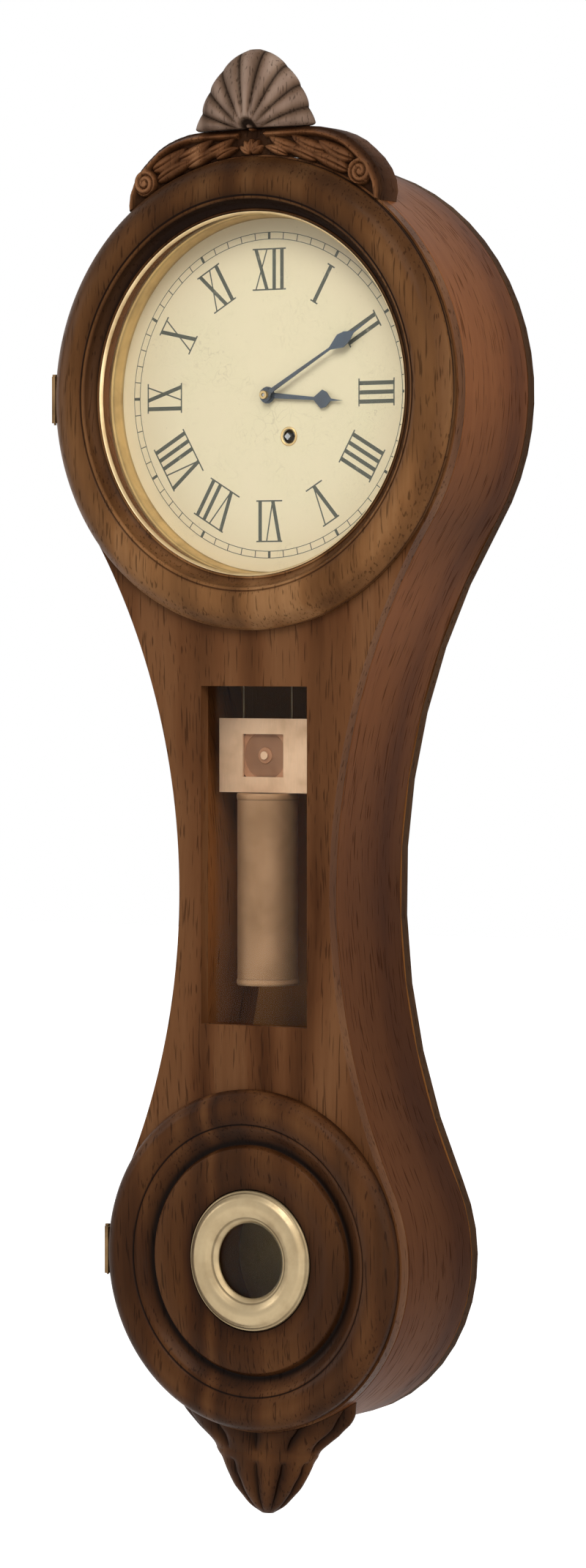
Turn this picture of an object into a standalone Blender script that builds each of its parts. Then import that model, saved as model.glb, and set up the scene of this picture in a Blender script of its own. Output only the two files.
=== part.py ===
"""A figure-eight wall clock: a weight-driven timepiece in a walnut case with bent sides.

Metres. X points right for someone who faces the dial, Y points into the wall and Z points up.
The origin is on the rear face of the back board, level with the centre of the dial.
"""
import math

import bmesh
import bpy
from mathutils import Matrix, Vector
from mathutils.geometry import tessellate_polygon

# Fits
GAP = 0.0003
RUNNING_GAP = 0.0004
OVERRUN = 0.002

# Case
CASE_DEPTH = 0.113
HEAD_RADIUS = 0.181
FOOT_RADIUS = 0.132
FOOT_BELOW_DIAL = 0.660
WAIST_HALF_WIDTH = 0.068
RIM_WALL = 0.012
BACK_THICKNESS = 0.009
PANEL_THICKNESS = 0.010
FOOT_OPENING_MARGIN = 0.062

# Throat window
WINDOW_SIDE_MARGIN = 0.020
WINDOW_BELOW_HEAD = 0.041
WINDOW_ABOVE_FOOT = 0.047
PANE_LAP = 0.003
PANE_THICKNESS = 0.002
BEAD_WIDTH = 0.0045
BEAD_DEPTH = 0.0032

# Crest and drop
CREST_HALF_WIDTH = 0.114
CREST_HEIGHT = 0.041
CREST_RISE_SHARE = 0.488
CREST_PROUD = 0.006
CREST_THICKNESS = 0.030
KNOB_HALF_WIDTH = 0.0545
KNOB_HALF_THICKNESS = 0.0165
KNOB_SEAT_SHARE = 0.3
KNOB_HEIGHT = 0.0597
DROP_HALF_WIDTH = 0.080
DROP_HALF_THICKNESS = 0.019
DROP_LENGTH = 0.0643
DROP_SETBACK = 0.020

# Hanger
HANGER_HALF_WIDTH = 0.020
HANGER_THICKNESS = 0.0022
HANGER_LAP = 0.038
HANGER_RISE = 0.020
HANGER_HOLE_RADIUS = 0.0045
HANGER_HOLE_DROP = 0.0085
HANGER_SCREW_RADIUS = 0.002
HANGER_SCREW_LENGTH = 0.008
HANGER_SCREW_HEAD = 0.0038
HANGER_SCREW_SPACING = 0.022

# Doors
DOOR_MARGIN = 0.0015
GLASS_THICKNESS = 0.0024
GLASS_LAP = 0.0022
UPPER_DOOR_WIDTH = 0.0448
UPPER_SIGHT_WIDTH = 0.0020
UPPER_SIGHT_HEIGHT = 0.0027
UPPER_LIP_HEIGHT = 0.0052
UPPER_LIP_WIDTH = 0.0012
UPPER_BEVEL_WIDTH = 0.0096
UPPER_BEZEL_HEIGHT = 0.0165
LOWER_SIGHT_RADIUS = 0.0285
LOWER_SIGHT_WIDTH = 0.0257
LOWER_SIGHT_HEIGHT = 0.0070
LOWER_SEAT_RADIUS = 0.0365
LOWER_BORDER_WIDTH = 0.0425
LOWER_GROOVE_WIDTH = 0.0020
LOWER_GROOVE_FLOOR = 0.0032
LOWER_DISH_HEIGHT = 0.0090
LOWER_BEZEL_HEIGHT = 0.0135

# Hinges
HINGE_LENGTH = 0.036
HINGE_MIDDLE = 0.012
KNUCKLE_RADIUS = 0.0025
HINGE_OFFSET = 0.0028
LEAF_THICKNESS = 0.0015
LEAF_DEPTH = 0.0115
DOOR_LEAF_DEPTH = 0.0030
HINGE_PIN_RADIUS = 0.0010
HINGE_PIN_HEAD = 0.0021
HINGE_PIN_HEAD_LENGTH = 0.0015

# Door catches
CATCH_INSET = 0.021
TONGUE_THICKNESS = 0.0020
TONGUE_HEIGHT = 0.010
TONGUE_LENGTH = 0.0125
CATCH_CLEARANCE = 0.0014
KEEPER_FRAME = 0.0030
KEEPER_THICKNESS = 0.0020

# Dial
DIAL_BEHIND_FRONT = 0.0226
DIAL_LAP = 0.0105
DIAL_THICKNESS = 0.0012
DIAL_RIM_WIDTH = 0.0048
DIAL_RIM_FLARE = 0.0033
PANEL_OPENING_MARGIN = 0.0033
DIAL_CENTRE_HOLE = 0.0050
WINDING_HOLE = 0.0055
DIAL_FOOT_RADIUS = 0.0020
DIAL_FOOT_INSET = 0.008

# Movement plates
PLATE_HALF_WIDTH = 0.054
PLATE_TOP = 0.068
PLATE_BOTTOM = 0.078
PLATE_THICKNESS = 0.0015
DIAL_TO_MOVEMENT = 0.0087
PLATE_SPACING = 0.0285
PILLAR_RADIUS = 0.0030
PILLAR_INSET = 0.006
BRACKET_HEIGHT = 0.060
BRACKET_FLANGE = 0.012
BRACKET_THICKNESS = 0.002
BRACKET_INSET = 0.008
PIVOT_RADIUS = 0.0009

# Train, tooth counts and modules
GREAT_TEETH = 96
CENTRE_LEAVES = 8
CENTRE_TEETH = 80
THIRD_LEAVES = 8
THIRD_TEETH = 56
ESCAPE_LEAVES = 8
ESCAPE_TEETH = 30
GREAT_MODULE = 0.0007
TRAIN_MODULE = 0.0006
WHEEL_THICKNESS = 0.0015
PINION_LENGTH = 0.0050
ARBOR_RADIUS = 0.0011
DRUM_OFFSET = 0.0178
THIRD_ARBOR_OFFSET = 0.016
ESCAPE_RADIUS = 0.0165
ESCAPE_TOOTH_DEPTH = 0.0026
ESCAPE_THICKNESS = 0.0010
PALLET_CLEARANCE = 0.0010
PALLET_THICKNESS = 0.0022
ANCHOR_ARM = 0.0034
ANCHOR_HUB = 0.0030
WHEEL_HUB_RADIUS = 0.0042
WHEEL_SPOKE = 0.0020
WHEEL_RING_SHARE = 0.80

# Layers of the train, behind the front plate's rear face
CENTRE_WHEEL_LAYER = 0.0045
THIRD_WHEEL_LAYER = 0.0120
ESCAPE_WHEEL_LAYER = 0.0190
GREAT_WHEEL_LAYER = 0.0225
RATCHET_LAYER = 0.0193

# Motion work, in front of the front plate
CANNON_TEETH = 12
MINUTE_TEETH = 36
MINUTE_LEAVES = 10
HOUR_TEETH = 40
CANNON_MODULE = 0.0005
MOTION_THICKNESS = 0.0010
MOTION_LAYER = 0.0010
CANNON_RADIUS = 0.0021
HOUR_PIPE_RADIUS = 0.0035
STUD_RADIUS = 0.0012
STUD_LENGTH = 0.0052

# Hands
HOUR_HAND_SHARE = 0.505
MINUTE_HAND_SHARE = 0.802
HOUR_LEAF_SHARE = 0.105
MINUTE_LEAF_SHARE = 0.052
HAND_SHAFT_SHARE = 0.26
HAND_THICKNESS = 0.0008
HOUR_HUB_RADIUS = 0.0065
MINUTE_HUB_RADIUS = 0.0052
HOUR_HAND_STAND_OFF = 0.0023
MINUTE_HAND_STAND_OFF = 0.0053
HAND_NUT_RADIUS = 0.0032
HAND_NUT_LENGTH = 0.0028
SHOWN_HOUR = 3
SHOWN_MINUTE = 10

# Drum, line and weight
LINE_RADIUS = 0.0006
LINE_DRUM_RADIUS = 0.0078
DRUM_LENGTH = 0.0175
DRUM_FLANGE = 0.0012
DRUM_FLANGE_THICKNESS = 0.0010
WINDING_ARBOR_RADIUS = 0.0030
WINDING_SQUARE = 0.0020
WINDING_REACH = 0.0020
RATCHET_TEETH = 24
RATCHET_RADIUS = 0.0110
RATCHET_DEPTH = 0.0013
CLICK_PIVOT_RADIUS = 0.0170
CLICK_TIP_CLEARANCE = 0.0008
CLICK_HALF_WIDTH = 0.0014
CLICK_TIP_HALF_WIDTH = 0.0005
CLICK_THICKNESS = 0.0022
CLICK_PIVOT_ANGLE = -60
CLICK_TIP_ANGLE = -100
CLICK_SPRING_STAND_OFF = 0.0009
CLICK_SPRING_WIDTH = 0.0007
CLICK_SPRING_FOOT = 0.0020
WEIGHT_OFFSET = -0.012
WEIGHT_RADIUS = 0.024
WEIGHT_LENGTH = 0.1477
WEIGHT_LIP = 0.0006
WEIGHT_LIP_HEIGHT = 0.005
WEIGHT_BEHIND_FRONT = 0.039
PULLEY_LINE_RADIUS = 0.022
PULLEY_FLANGE = 0.0022
PULLEY_THICKNESS = 0.0080
PULLEY_GROOVE = 0.0034
PULLEY_BELOW_WINDOW_TOP = 0.0535
YOKE_HALF_WIDTH = 0.040
YOKE_HALF_HEIGHT = 0.0285
YOKE_BAR = 0.0120
YOKE_SIDE = 0.0215
YOKE_PLATE = 0.0020
YOKE_CLEARANCE = 0.0008
YOKE_BLOCK_HALF_WIDTH = 0.012
YOKE_BLOCK_HEIGHT = 0.0030
YOKE_STRAP = 0.007
PULLEY_PIN_RADIUS = 0.0016
PULLEY_PIN_HEAD = 0.0032
PULLEY_PIN_HEAD_LENGTH = 0.0012
LINE_STUD_RADIUS = 0.0015
LINE_STUD_LENGTH = 0.0085
LINE_STUD_RISE = 0.008

# Pendulum
BOB_BELOW_FOOT = 0.0053
BOB_RADIUS = 0.066
BOB_ROOM_SHARE = 0.275
PENDULUM_ROOM_SHARE = 0.525
ROD_RADIUS = 0.0022
ROD_TAIL = 0.0095
NUT_RADIUS = 0.0070
NUT_HEIGHT = 0.0060
SPRING_WIDTH = 0.0050
SPRING_THICKNESS = 0.0004
SPRING_RISE = 0.0051
SPRING_DROP = 0.0069
COCK_HALF_WIDTH = 0.008
COCK_HEIGHT = 0.0075
COCK_RISE = 0.0036
COCK_OVERHANG = 0.004
CRUTCH_WIDTH = 0.005
CRUTCH_THICKNESS = 0.0015
CRUTCH_BEHIND_PLATE = 0.0025
CRUTCH_LENGTH = 0.062
CRUTCH_PRONG = 0.002
CRUTCH_PRONG_HEIGHT = 0.004
CRUTCH_OVERREACH = 0.0012

# How finely round things are faceted
HEAD_STEPS = 40
HOLLOW_STEPS = 10
FOOT_STEPS = 28
LARGE_ROUND = 56
MIDDLE_ROUND = 40
SMALL_ROUND = 24
SHAFT_ROUND = 12
PIN_ROUND = 8

# Places that follow from the sizes above
FRONT = -CASE_DEPTH
PANEL_BACK = FRONT + PANEL_THICKNESS
DIAL_FACE = FRONT + DIAL_BEHIND_FRONT
DIAL_BACK = DIAL_FACE + DIAL_THICKNESS
PLATE_FRONT = DIAL_BACK + DIAL_TO_MOVEMENT
TRAIN_FRONT = PLATE_FRONT + PLATE_THICKNESS
TRAIN_BACK = TRAIN_FRONT + PLATE_SPACING
PLATE_REAR = TRAIN_BACK + PLATE_THICKNESS
BACK_FRONT = -BACK_THICKNESS
UPPER_SIGHT_RADIUS = HEAD_RADIUS - UPPER_DOOR_WIDTH
PANEL_OPENING_RADIUS = UPPER_SIGHT_RADIUS + PANEL_OPENING_MARGIN
FOOT_OPENING_RADIUS = FOOT_RADIUS - FOOT_OPENING_MARGIN
LOWER_GROOVE_RADIUS = FOOT_RADIUS - LOWER_BORDER_WIDTH
WINDOW_HALF_WIDTH = WAIST_HALF_WIDTH - WINDOW_SIDE_MARGIN
WINDOW_TOP = HEAD_RADIUS + WINDOW_BELOW_HEAD
WINDOW_BOTTOM = FOOT_BELOW_DIAL - FOOT_RADIUS - WINDOW_ABOVE_FOOT
DIAL_RADIUS = PANEL_OPENING_RADIUS + DIAL_LAP
DIAL_VISIBLE_RADIUS = PANEL_OPENING_RADIUS - DIAL_RIM_WIDTH
HOUR_HAND_LENGTH = DIAL_VISIBLE_RADIUS * HOUR_HAND_SHARE
MINUTE_HAND_LENGTH = DIAL_VISIBLE_RADIUS * MINUTE_HAND_SHARE
DRUM_DISTANCE = GREAT_MODULE * (GREAT_TEETH + CENTRE_LEAVES) / 2
DRUM_X = DRUM_OFFSET
DRUM_Z = -math.sqrt(DRUM_DISTANCE ** 2 - DRUM_OFFSET ** 2)
THIRD_DISTANCE = TRAIN_MODULE * (CENTRE_TEETH + THIRD_LEAVES) / 2
THIRD_X = -THIRD_ARBOR_OFFSET
THIRD_Z = math.sqrt(THIRD_DISTANCE ** 2 - THIRD_ARBOR_OFFSET ** 2)
ESCAPE_DISTANCE = TRAIN_MODULE * (THIRD_TEETH + ESCAPE_LEAVES) / 2
ESCAPE_Z = THIRD_Z + math.sqrt(ESCAPE_DISTANCE ** 2 - THIRD_ARBOR_OFFSET ** 2)
SWING_Z = ESCAPE_Z + math.sqrt(2) * ESCAPE_RADIUS
MOTION_DISTANCE = CANNON_MODULE * (CANNON_TEETH + MINUTE_TEETH) / 2
HOUR_MODULE = 2 * MOTION_DISTANCE / (HOUR_TEETH + MINUTE_LEAVES)
STUD_X = -MOTION_DISTANCE * math.sqrt(0.5)
STUD_Z = -MOTION_DISTANCE * math.sqrt(0.5)
PENDULUM_ROOM = BACK_FRONT - PLATE_REAR
PENDULUM_Y = BACK_FRONT - PENDULUM_ROOM * PENDULUM_ROOM_SHARE
BOB_HALF_THICKNESS = PENDULUM_ROOM * BOB_ROOM_SHARE
BOB_BELOW_DIAL = FOOT_BELOW_DIAL + BOB_BELOW_FOOT
WEIGHT_Y = FRONT + WEIGHT_BEHIND_FRONT
PULLEY_Z = -WINDOW_TOP - PULLEY_BELOW_WINDOW_TOP
YOKE_BOTTOM = PULLEY_Z - YOKE_HALF_HEIGHT
WEIGHT_TOP = YOKE_BOTTOM - GAP
LINE_RIGHT = WEIGHT_OFFSET + PULLEY_LINE_RADIUS
LINE_LEFT = WEIGHT_OFFSET - PULLEY_LINE_RADIUS
LINE_STUD_Z = -PLATE_BOTTOM + LINE_STUD_RISE

MATERIALS = {
    "walnut": ((0.16, 0.075, 0.032), 0.38, 0.0),
    "dark_walnut": ((0.07, 0.030, 0.014), 0.36, 0.0),
    "brass": ((0.62, 0.44, 0.20), 0.30, 1.0),
    "steel": ((0.42, 0.42, 0.43), 0.35, 1.0),
    "blued_steel": ((0.03, 0.035, 0.06), 0.30, 1.0),
    "bronze": ((0.30, 0.17, 0.08), 0.40, 1.0),
    "dial_paint": ((0.84, 0.78, 0.62), 0.45, 0.0),
    "glass": ((0.90, 0.93, 0.92), 0.05, 0.0),
    "gut": ((0.55, 0.42, 0.24), 0.60, 0.0),
}


def make_material(name):
    """One Principled material, made once and shared by the pieces of that stuff."""
    if name in bpy.data.materials:
        return bpy.data.materials[name]
    colour, roughness, metallic = MATERIALS[name]
    material = bpy.data.materials.new(name)
    material.use_nodes = True
    shader = material.node_tree.nodes["Principled BSDF"]
    shader.inputs["Base Color"].default_value = (*colour, 1.0)
    shader.inputs["Roughness"].default_value = roughness
    shader.inputs["Metallic"].default_value = metallic
    return material


def make_axis(name, x, y, z, parent=None):
    """An empty on a joint's axis. The pieces that move there are its children."""
    empty = bpy.data.objects.new(name, None)
    empty.location = (x, y, z)
    if parent:
        empty.location -= Vector(parent["place"])
        empty.parent = parent
    empty["place"] = (x, y, z)
    bpy.context.collection.objects.link(empty)
    return empty


def make_piece(name, verts, faces, material=None, axis=None):
    """A mesh object. It is modelled in place and then hung from its joint's empty."""
    mesh = bpy.data.meshes.new(name)
    mesh.from_pydata([tuple(v) for v in verts], [], faces)
    shape = bmesh.new()
    shape.from_mesh(mesh)
    bmesh.ops.recalc_face_normals(shape, faces=shape.faces)
    shape.to_mesh(mesh)
    shape.free()
    piece = bpy.data.objects.new(name, mesh)
    if material:
        mesh.materials.append(make_material(material))
    if axis:
        mesh.transform(Matrix.Translation(-Vector(axis["place"])))
        piece.parent = axis
    mesh.shade_smooth()
    mesh.set_sharp_from_angle(angle=math.radians(35))
    bpy.context.collection.objects.link(piece)
    return piece


def boolean(target, tool, operation):
    """A Boolean on target by tool. The tool stays as a hidden guide."""
    tool.hide_render = True
    tool.display_type = "WIRE"
    modifier = target.modifiers.new(tool.name, "BOOLEAN")
    modifier.operation = operation
    modifier.object = tool


def onto(axis, u, v, along):
    """The point at u, v on a plane that is square to an axis."""
    return {"X": (along, u, v), "Y": (u, along, v), "Z": (u, v, along)}[axis]


def circle(radius, count, u=0.0, v=0.0):
    turn = 2 * math.pi / count
    return [(u + radius * math.cos(i * turn), v + radius * math.sin(i * turn)) for i in range(count)]


def arc(radius, start, end, steps, u=0.0, v=0.0):
    """Points from one angle to another, both ends counted."""
    angles = [start + (end - start) * i / steps for i in range(steps + 1)]
    return [(u + radius * math.cos(a), v + radius * math.sin(a)) for a in angles]


def rectangle(u0, u1, v0, v1):
    return [(u0, v0), (u1, v0), (u1, v1), (u0, v1)]


def turn_about(points, angle, u=0.0, v=0.0):
    """Points turned clockwise, as seen from the front, about u, v."""
    c, s = math.cos(angle), math.sin(angle)
    return [(u + (p - u) * c + (q - v) * s, v - (p - u) * s + (q - v) * c) for p, q in points]


def plate(loops, low, high, axis="Y"):
    """A flat plate between low and high. The first loop is its edge and the rest are holes."""
    flat = [p for loop in loops for p in loop]
    verts = [onto(axis, u, v, low) for u, v in flat] + [onto(axis, u, v, high) for u, v in flat]
    count = len(flat)
    triangles = tessellate_polygon([[Vector((u, v, 0)) for u, v in loop] for loop in loops])
    faces = [tuple(t) for t in triangles] + [tuple(i + count for i in reversed(t)) for t in triangles]
    start = 0
    for loop in loops:
        size = len(loop)
        for i in range(size):
            a, b = start + i, start + (i + 1) % size
            faces.append((a, b, b + count, a + count))
        start += size
    return verts, faces


def loft(loops):
    """A solid through closed loops of equally many points, capped at both ends."""
    size = len(loops[0])
    verts = [p for loop in loops for p in loop]
    faces = []
    for k in range(len(loops) - 1):
        for i in range(size):
            a, b = k * size + i, k * size + (i + 1) % size
            faces.append((a, b, b + size, a + size))
    last = (len(loops) - 1) * size
    faces.append(tuple(reversed(range(size))))
    faces.append(tuple(last + i for i in range(size)))
    return verts, faces


def tube_of_loops(loops):
    """A ring-shaped solid: the loops follow one another and the last joins the first."""
    size, total = len(loops[0]), len(loops)
    verts = [p for loop in loops for p in loop]
    faces = []
    for k in range(total):
        for i in range(size):
            a, b = k * size + i, k * size + (i + 1) % size
            c, d = (k + 1) % total * size + (i + 1) % size, (k + 1) % total * size + i
            faces.append((a, b, c, d))
    return verts, faces


def turned(profile, count, axis="Y", u=0.0, v=0.0):
    """A solid turned about an axis, from a profile of (radius, along) whose ends are capped."""
    return loft([[onto(axis, p, q, along) for p, q in circle(radius, count, u, v)]
                 for radius, along in profile])


def turned_ring(profile, count, axis="Y", u=0.0, v=0.0):
    """A turned ring with an open middle, from a closed profile of (radius, along)."""
    return tube_of_loops([[onto(axis, p, q, along) for p, q in circle(radius, count, u, v)]
                          for radius, along in profile])


def box(x0, x1, y0, y1, z0, z1):
    return plate([rectangle(x0, x1, z0, z1)], y0, y1)


def tube(inner, outer, low, high, count, axis="Y", u=0.0, v=0.0):
    return turned_ring([(outer, low), (outer, high), (inner, high), (inner, low)], count, axis, u, v)


def find_waist():
    """Radius and centre of the hollow arc that touches both circles and the waist."""
    def reach(circle_radius, radius):
        return math.sqrt((circle_radius - WAIST_HALF_WIDTH)
                         * (circle_radius + WAIST_HALF_WIDTH + 2 * radius))

    low, high = 0.0, 2 * FOOT_BELOW_DIAL
    for _ in range(50):
        radius = (low + high) / 2
        if reach(HEAD_RADIUS, radius) + reach(FOOT_RADIUS, radius) < FOOT_BELOW_DIAL:
            low = radius
        else:
            high = radius
    return radius, radius + WAIST_HALF_WIDTH, -reach(HEAD_RADIUS, radius)


def figure_eight(inset=0.0):
    """The case's outline: the head's arc, a hollow arc, the foot's arc and a hollow arc."""
    hollow, hollow_x, hollow_z = find_waist()
    foot_z = -FOOT_BELOW_DIAL
    head_angle = math.atan2(-hollow_z, hollow_x)
    foot_angle = math.atan2(hollow_z - foot_z, hollow_x)
    head = arc(HEAD_RADIUS - inset, -head_angle, math.pi + head_angle, HEAD_STEPS)
    left = arc(hollow + inset, head_angle, -foot_angle, HOLLOW_STEPS, -hollow_x, hollow_z)
    foot = arc(FOOT_RADIUS - inset, math.pi - foot_angle, 2 * math.pi + foot_angle, FOOT_STEPS, 0, foot_z)
    right = arc(hollow + inset, math.pi + foot_angle, math.pi - head_angle, HOLLOW_STEPS,
                hollow_x, hollow_z)
    return head[:-1] + left[:-1] + foot[:-1] + right[:-1]


def toothed(teeth, module, u, v, phase=0.0):
    """A wheel's outline with pointed teeth, three points to a tooth."""
    tooth_shares = ((-0.30, -1.25), (0.0, 1.0), (0.30, -1.25))
    pitch_radius = teeth * module / 2
    step = 2 * math.pi / teeth
    points = []
    for i in range(teeth):
        middle = phase + i * step
        for turn, rise in tooth_shares:
            angle, radius = middle + turn * step, pitch_radius + rise * module
            points.append((u + radius * math.cos(angle), v + radius * math.sin(angle)))
    return points


def leaved(leaves, module, u, v, phase=0.0):
    """A pinion's outline with slim leaves, four points to a leaf."""
    leaf_shares = ((-0.17, -1.3), (-0.10, 0.7), (0.10, 0.7), (0.17, -1.3))
    pitch_radius = leaves * module / 2
    step = 2 * math.pi / leaves
    points = []
    for i in range(leaves):
        middle = phase + i * step
        for turn, rise in leaf_shares:
            angle, radius = middle + turn * step, pitch_radius + rise * module
            points.append((u + radius * math.cos(angle), v + radius * math.sin(angle)))
    return points


def mesh_phase(teeth, leaves, x, z, pinion_x, pinion_z):
    """Phases that put a tooth of the wheel on the line of centres, in a gap of the pinion."""
    toward = math.atan2(pinion_z - z, pinion_x - x)
    return toward, toward + math.pi + math.pi / leaves


def windows(radius, spokes, u, v):
    """The crossed-out openings of a wheel, between its hub, its spokes and its ring."""
    loops = []
    outer, inner = radius * WHEEL_RING_SHARE, WHEEL_HUB_RADIUS
    for i in range(spokes):
        start, end = 2 * math.pi * i / spokes, 2 * math.pi * (i + 1) / spokes
        far, near = WHEEL_SPOKE / outer / 2, WHEEL_SPOKE / inner / 2
        loops.append(arc(outer, start + far, end - far, 4, u, v)
                     + arc(inner, end - near, start + near, 2, u, v))
    return loops


def make_case():
    """The back board, the bent rim and the front panel with its openings."""
    outline = figure_eight()
    foot_z = -FOOT_BELOW_DIAL
    back_board = make_piece("back_board", *plate([outline], BACK_FRONT, 0), "walnut")
    side = HANGER_HALF_WIDTH + GAP
    rebate = box(-side, side, -HANGER_THICKNESS - GAP, OVERRUN,
                 HEAD_RADIUS - HANGER_LAP - GAP, HEAD_RADIUS + OVERRUN)
    boolean(back_board, make_piece("hanger_rebate", *rebate), "DIFFERENCE")
    inner = figure_eight(RIM_WALL)
    rim_front, rim_back = PANEL_BACK + GAP, BACK_FRONT - GAP
    loops = [[(x, y, z) for x, z in line] for line, y in
             ((outline, rim_front), (outline, rim_back), (inner, rim_back), (inner, rim_front))]
    make_piece("case_rim", *tube_of_loops(loops), "walnut")
    holes = [circle(PANEL_OPENING_RADIUS, LARGE_ROUND),
             circle(FOOT_OPENING_RADIUS, MIDDLE_ROUND, 0, foot_z),
             rectangle(-WINDOW_HALF_WIDTH, WINDOW_HALF_WIDTH, -WINDOW_BOTTOM, -WINDOW_TOP)]
    for radius, z in ((HEAD_RADIUS, 0.0), (FOOT_RADIUS, foot_z)):
        x = radius - CATCH_INSET
        half = TONGUE_THICKNESS / 2 + CATCH_CLEARANCE
        tall = TONGUE_HEIGHT / 2 + CATCH_CLEARANCE
        holes.append(rectangle(x - half, x + half, z - tall, z + tall))
    make_piece("front_panel", *plate([outline] + holes, FRONT, PANEL_BACK), "walnut")
    return back_board


def make_throat():
    """The pane behind the throat window and the wooden bead round it."""
    half = WINDOW_HALF_WIDTH + PANE_LAP
    low, high = -WINDOW_BOTTOM - PANE_LAP, -WINDOW_TOP + PANE_LAP
    back = PANEL_BACK + GAP
    make_piece("throat_glass", *box(-half, half, back, back + PANE_THICKNESS, low, high), "glass")
    outer = rectangle(-half - BEAD_WIDTH, half + BEAD_WIDTH, low - BEAD_WIDTH, high + BEAD_WIDTH)
    inner = rectangle(-half - GAP, half + GAP, low - GAP, high + GAP)
    make_piece("throat_bead", *plate([outer, inner], back, back + BEAD_DEPTH), "walnut")


def make_crest():
    """The carved crest on the head, cut to the case's curve, with its finial."""
    seat = HEAD_RADIUS + GAP
    top = HEAD_RADIUS + CREST_HEIGHT * CREST_RISE_SHARE
    edge_shares = ((0.10, 1.00), (0.42, 0.995), (0.52, 0.968), (0.60, 0.915), (0.68, 0.837), (0.76, 0.72),
                   (0.83, 0.561), (0.90, 0.383), (0.955, 0.178), (0.99, -0.041), (1.00, -0.244),
                   (0.987, -0.388))
    right = [(CREST_HALF_WIDTH * u, top - CREST_HEIGHT * (1 - v)) for u, v in edge_shares]
    reach = math.acos(CREST_HALF_WIDTH * edge_shares[-1][0] / seat)
    seat_arc = arc(seat, math.pi - reach, reach, SMALL_ROUND)
    outline = [(-x, z) for x, z in right] + seat_arc + right[::-1]
    front = FRONT - CREST_PROUD
    make_piece("crest", *plate([outline], front, front + CREST_THICKNESS), "walnut")
    section_shares = ((0.0, 1.0, 0.80), (0.08, 0.96, 0.92), (0.18, 0.91, 1.0), (0.30, 0.86, 1.0),
                      (0.42, 0.80, 0.97), (0.54, 0.73, 0.92), (0.66, 0.63, 0.84), (0.78, 0.51, 0.72),
                      (0.88, 0.38, 0.58), (0.95, 0.25, 0.40), (1.0, 0.09, 0.16))
    middle = front + CREST_THICKNESS * KNOB_SEAT_SHARE
    loops = []
    for rise, wide, thick in section_shares:
        z = top + GAP + KNOB_HEIGHT * rise
        loops.append([(KNOB_HALF_WIDTH * wide * u, middle + KNOB_HALF_THICKNESS * thick * v, z)
                      for u, v in circle(1, SMALL_ROUND)])
    make_piece("crest_knob", *loft(loops), "dark_walnut")


def make_drop():
    """The carved drop under the foot, cut to the case's curve."""
    section_shares = ((0.0, 1.0, 0.95), (0.104, 0.987, 1.0), (0.20, 0.925, 1.0), (0.274, 0.84, 1.0),
                      (0.35, 0.725, 1.0), (0.425, 0.62, 0.97), (0.498, 0.55, 0.95), (0.57, 0.506, 0.96),
                      (0.646, 0.469, 0.93), (0.72, 0.412, 0.88), (0.79, 0.356, 0.80), (0.865, 0.275, 0.66),
                      (0.94, 0.18, 0.46), (1.0, 0.062, 0.18))
    middle = FRONT + DROP_SETBACK
    foot_bottom = -FOOT_BELOW_DIAL - FOOT_RADIUS
    rise = FOOT_RADIUS - math.sqrt(FOOT_RADIUS ** 2 - DROP_HALF_WIDTH ** 2)
    length = rise + DROP_LENGTH
    loops = []
    for fall, wide, thick in section_shares:
        z = foot_bottom + rise - length * fall
        loops.append([(DROP_HALF_WIDTH * wide * u, middle + DROP_HALF_THICKNESS * thick * v, z)
                      for u, v in circle(1, SMALL_ROUND)])
    make_piece("foot_drop", *loft(loops), "dark_walnut")
    seat = FOOT_RADIUS + GAP
    low, high = middle - DROP_HALF_THICKNESS - OVERRUN, middle + DROP_HALF_THICKNESS + OVERRUN
    make_piece("foot_drop_seat", *turned([(seat, low), (seat, high)], 2 * MIDDLE_ROUND, "Y",
                                         0, -FOOT_BELOW_DIAL))
    boolean(bpy.data.objects["foot_drop"], bpy.data.objects["foot_drop_seat"], "DIFFERENCE")


def make_hanger(back_board):
    """The steel plate let into the back board, with the hole that hangs on the wall."""
    half = HANGER_HALF_WIDTH
    low = HEAD_RADIUS - HANGER_LAP
    high = HEAD_RADIUS + HANGER_RISE
    eye = circle(HANGER_HOLE_RADIUS, SHAFT_ROUND, 0, high - HANGER_HOLE_DROP)
    screws = [(side * HANGER_SCREW_SPACING / 2, low + HANGER_LAP / 3) for side in (-1, 1)]
    outline = [(-half, low), (half, low)] + arc(half, 0, math.pi, SHAFT_ROUND, 0, high - half)
    hanger = make_piece("hanger_plate", *plate([outline, eye], -HANGER_THICKNESS, 0), "steel")
    for side, (x, z) in zip(("left", "right"), screws):
        name = "hanger_screw_" + side
        shank, head = HANGER_SCREW_RADIUS, HANGER_SCREW_HEAD
        hole = turned([(shank + GAP, -HANGER_SCREW_LENGTH - GAP), (shank + GAP, -HANGER_THICKNESS),
                       (head + GAP, 0), (head + GAP, OVERRUN)], PIN_ROUND, "Y", x, z)
        cutter = make_piece(name + "_hole", *hole)
        boolean(back_board, cutter, "DIFFERENCE")
        boolean(hanger, cutter, "DIFFERENCE")
        screw = [(shank, -HANGER_SCREW_LENGTH), (shank, -HANGER_THICKNESS), (head, 0)]
        make_piece(name, *turned(screw, PIN_ROUND, "Y", x, z), "steel")


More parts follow.
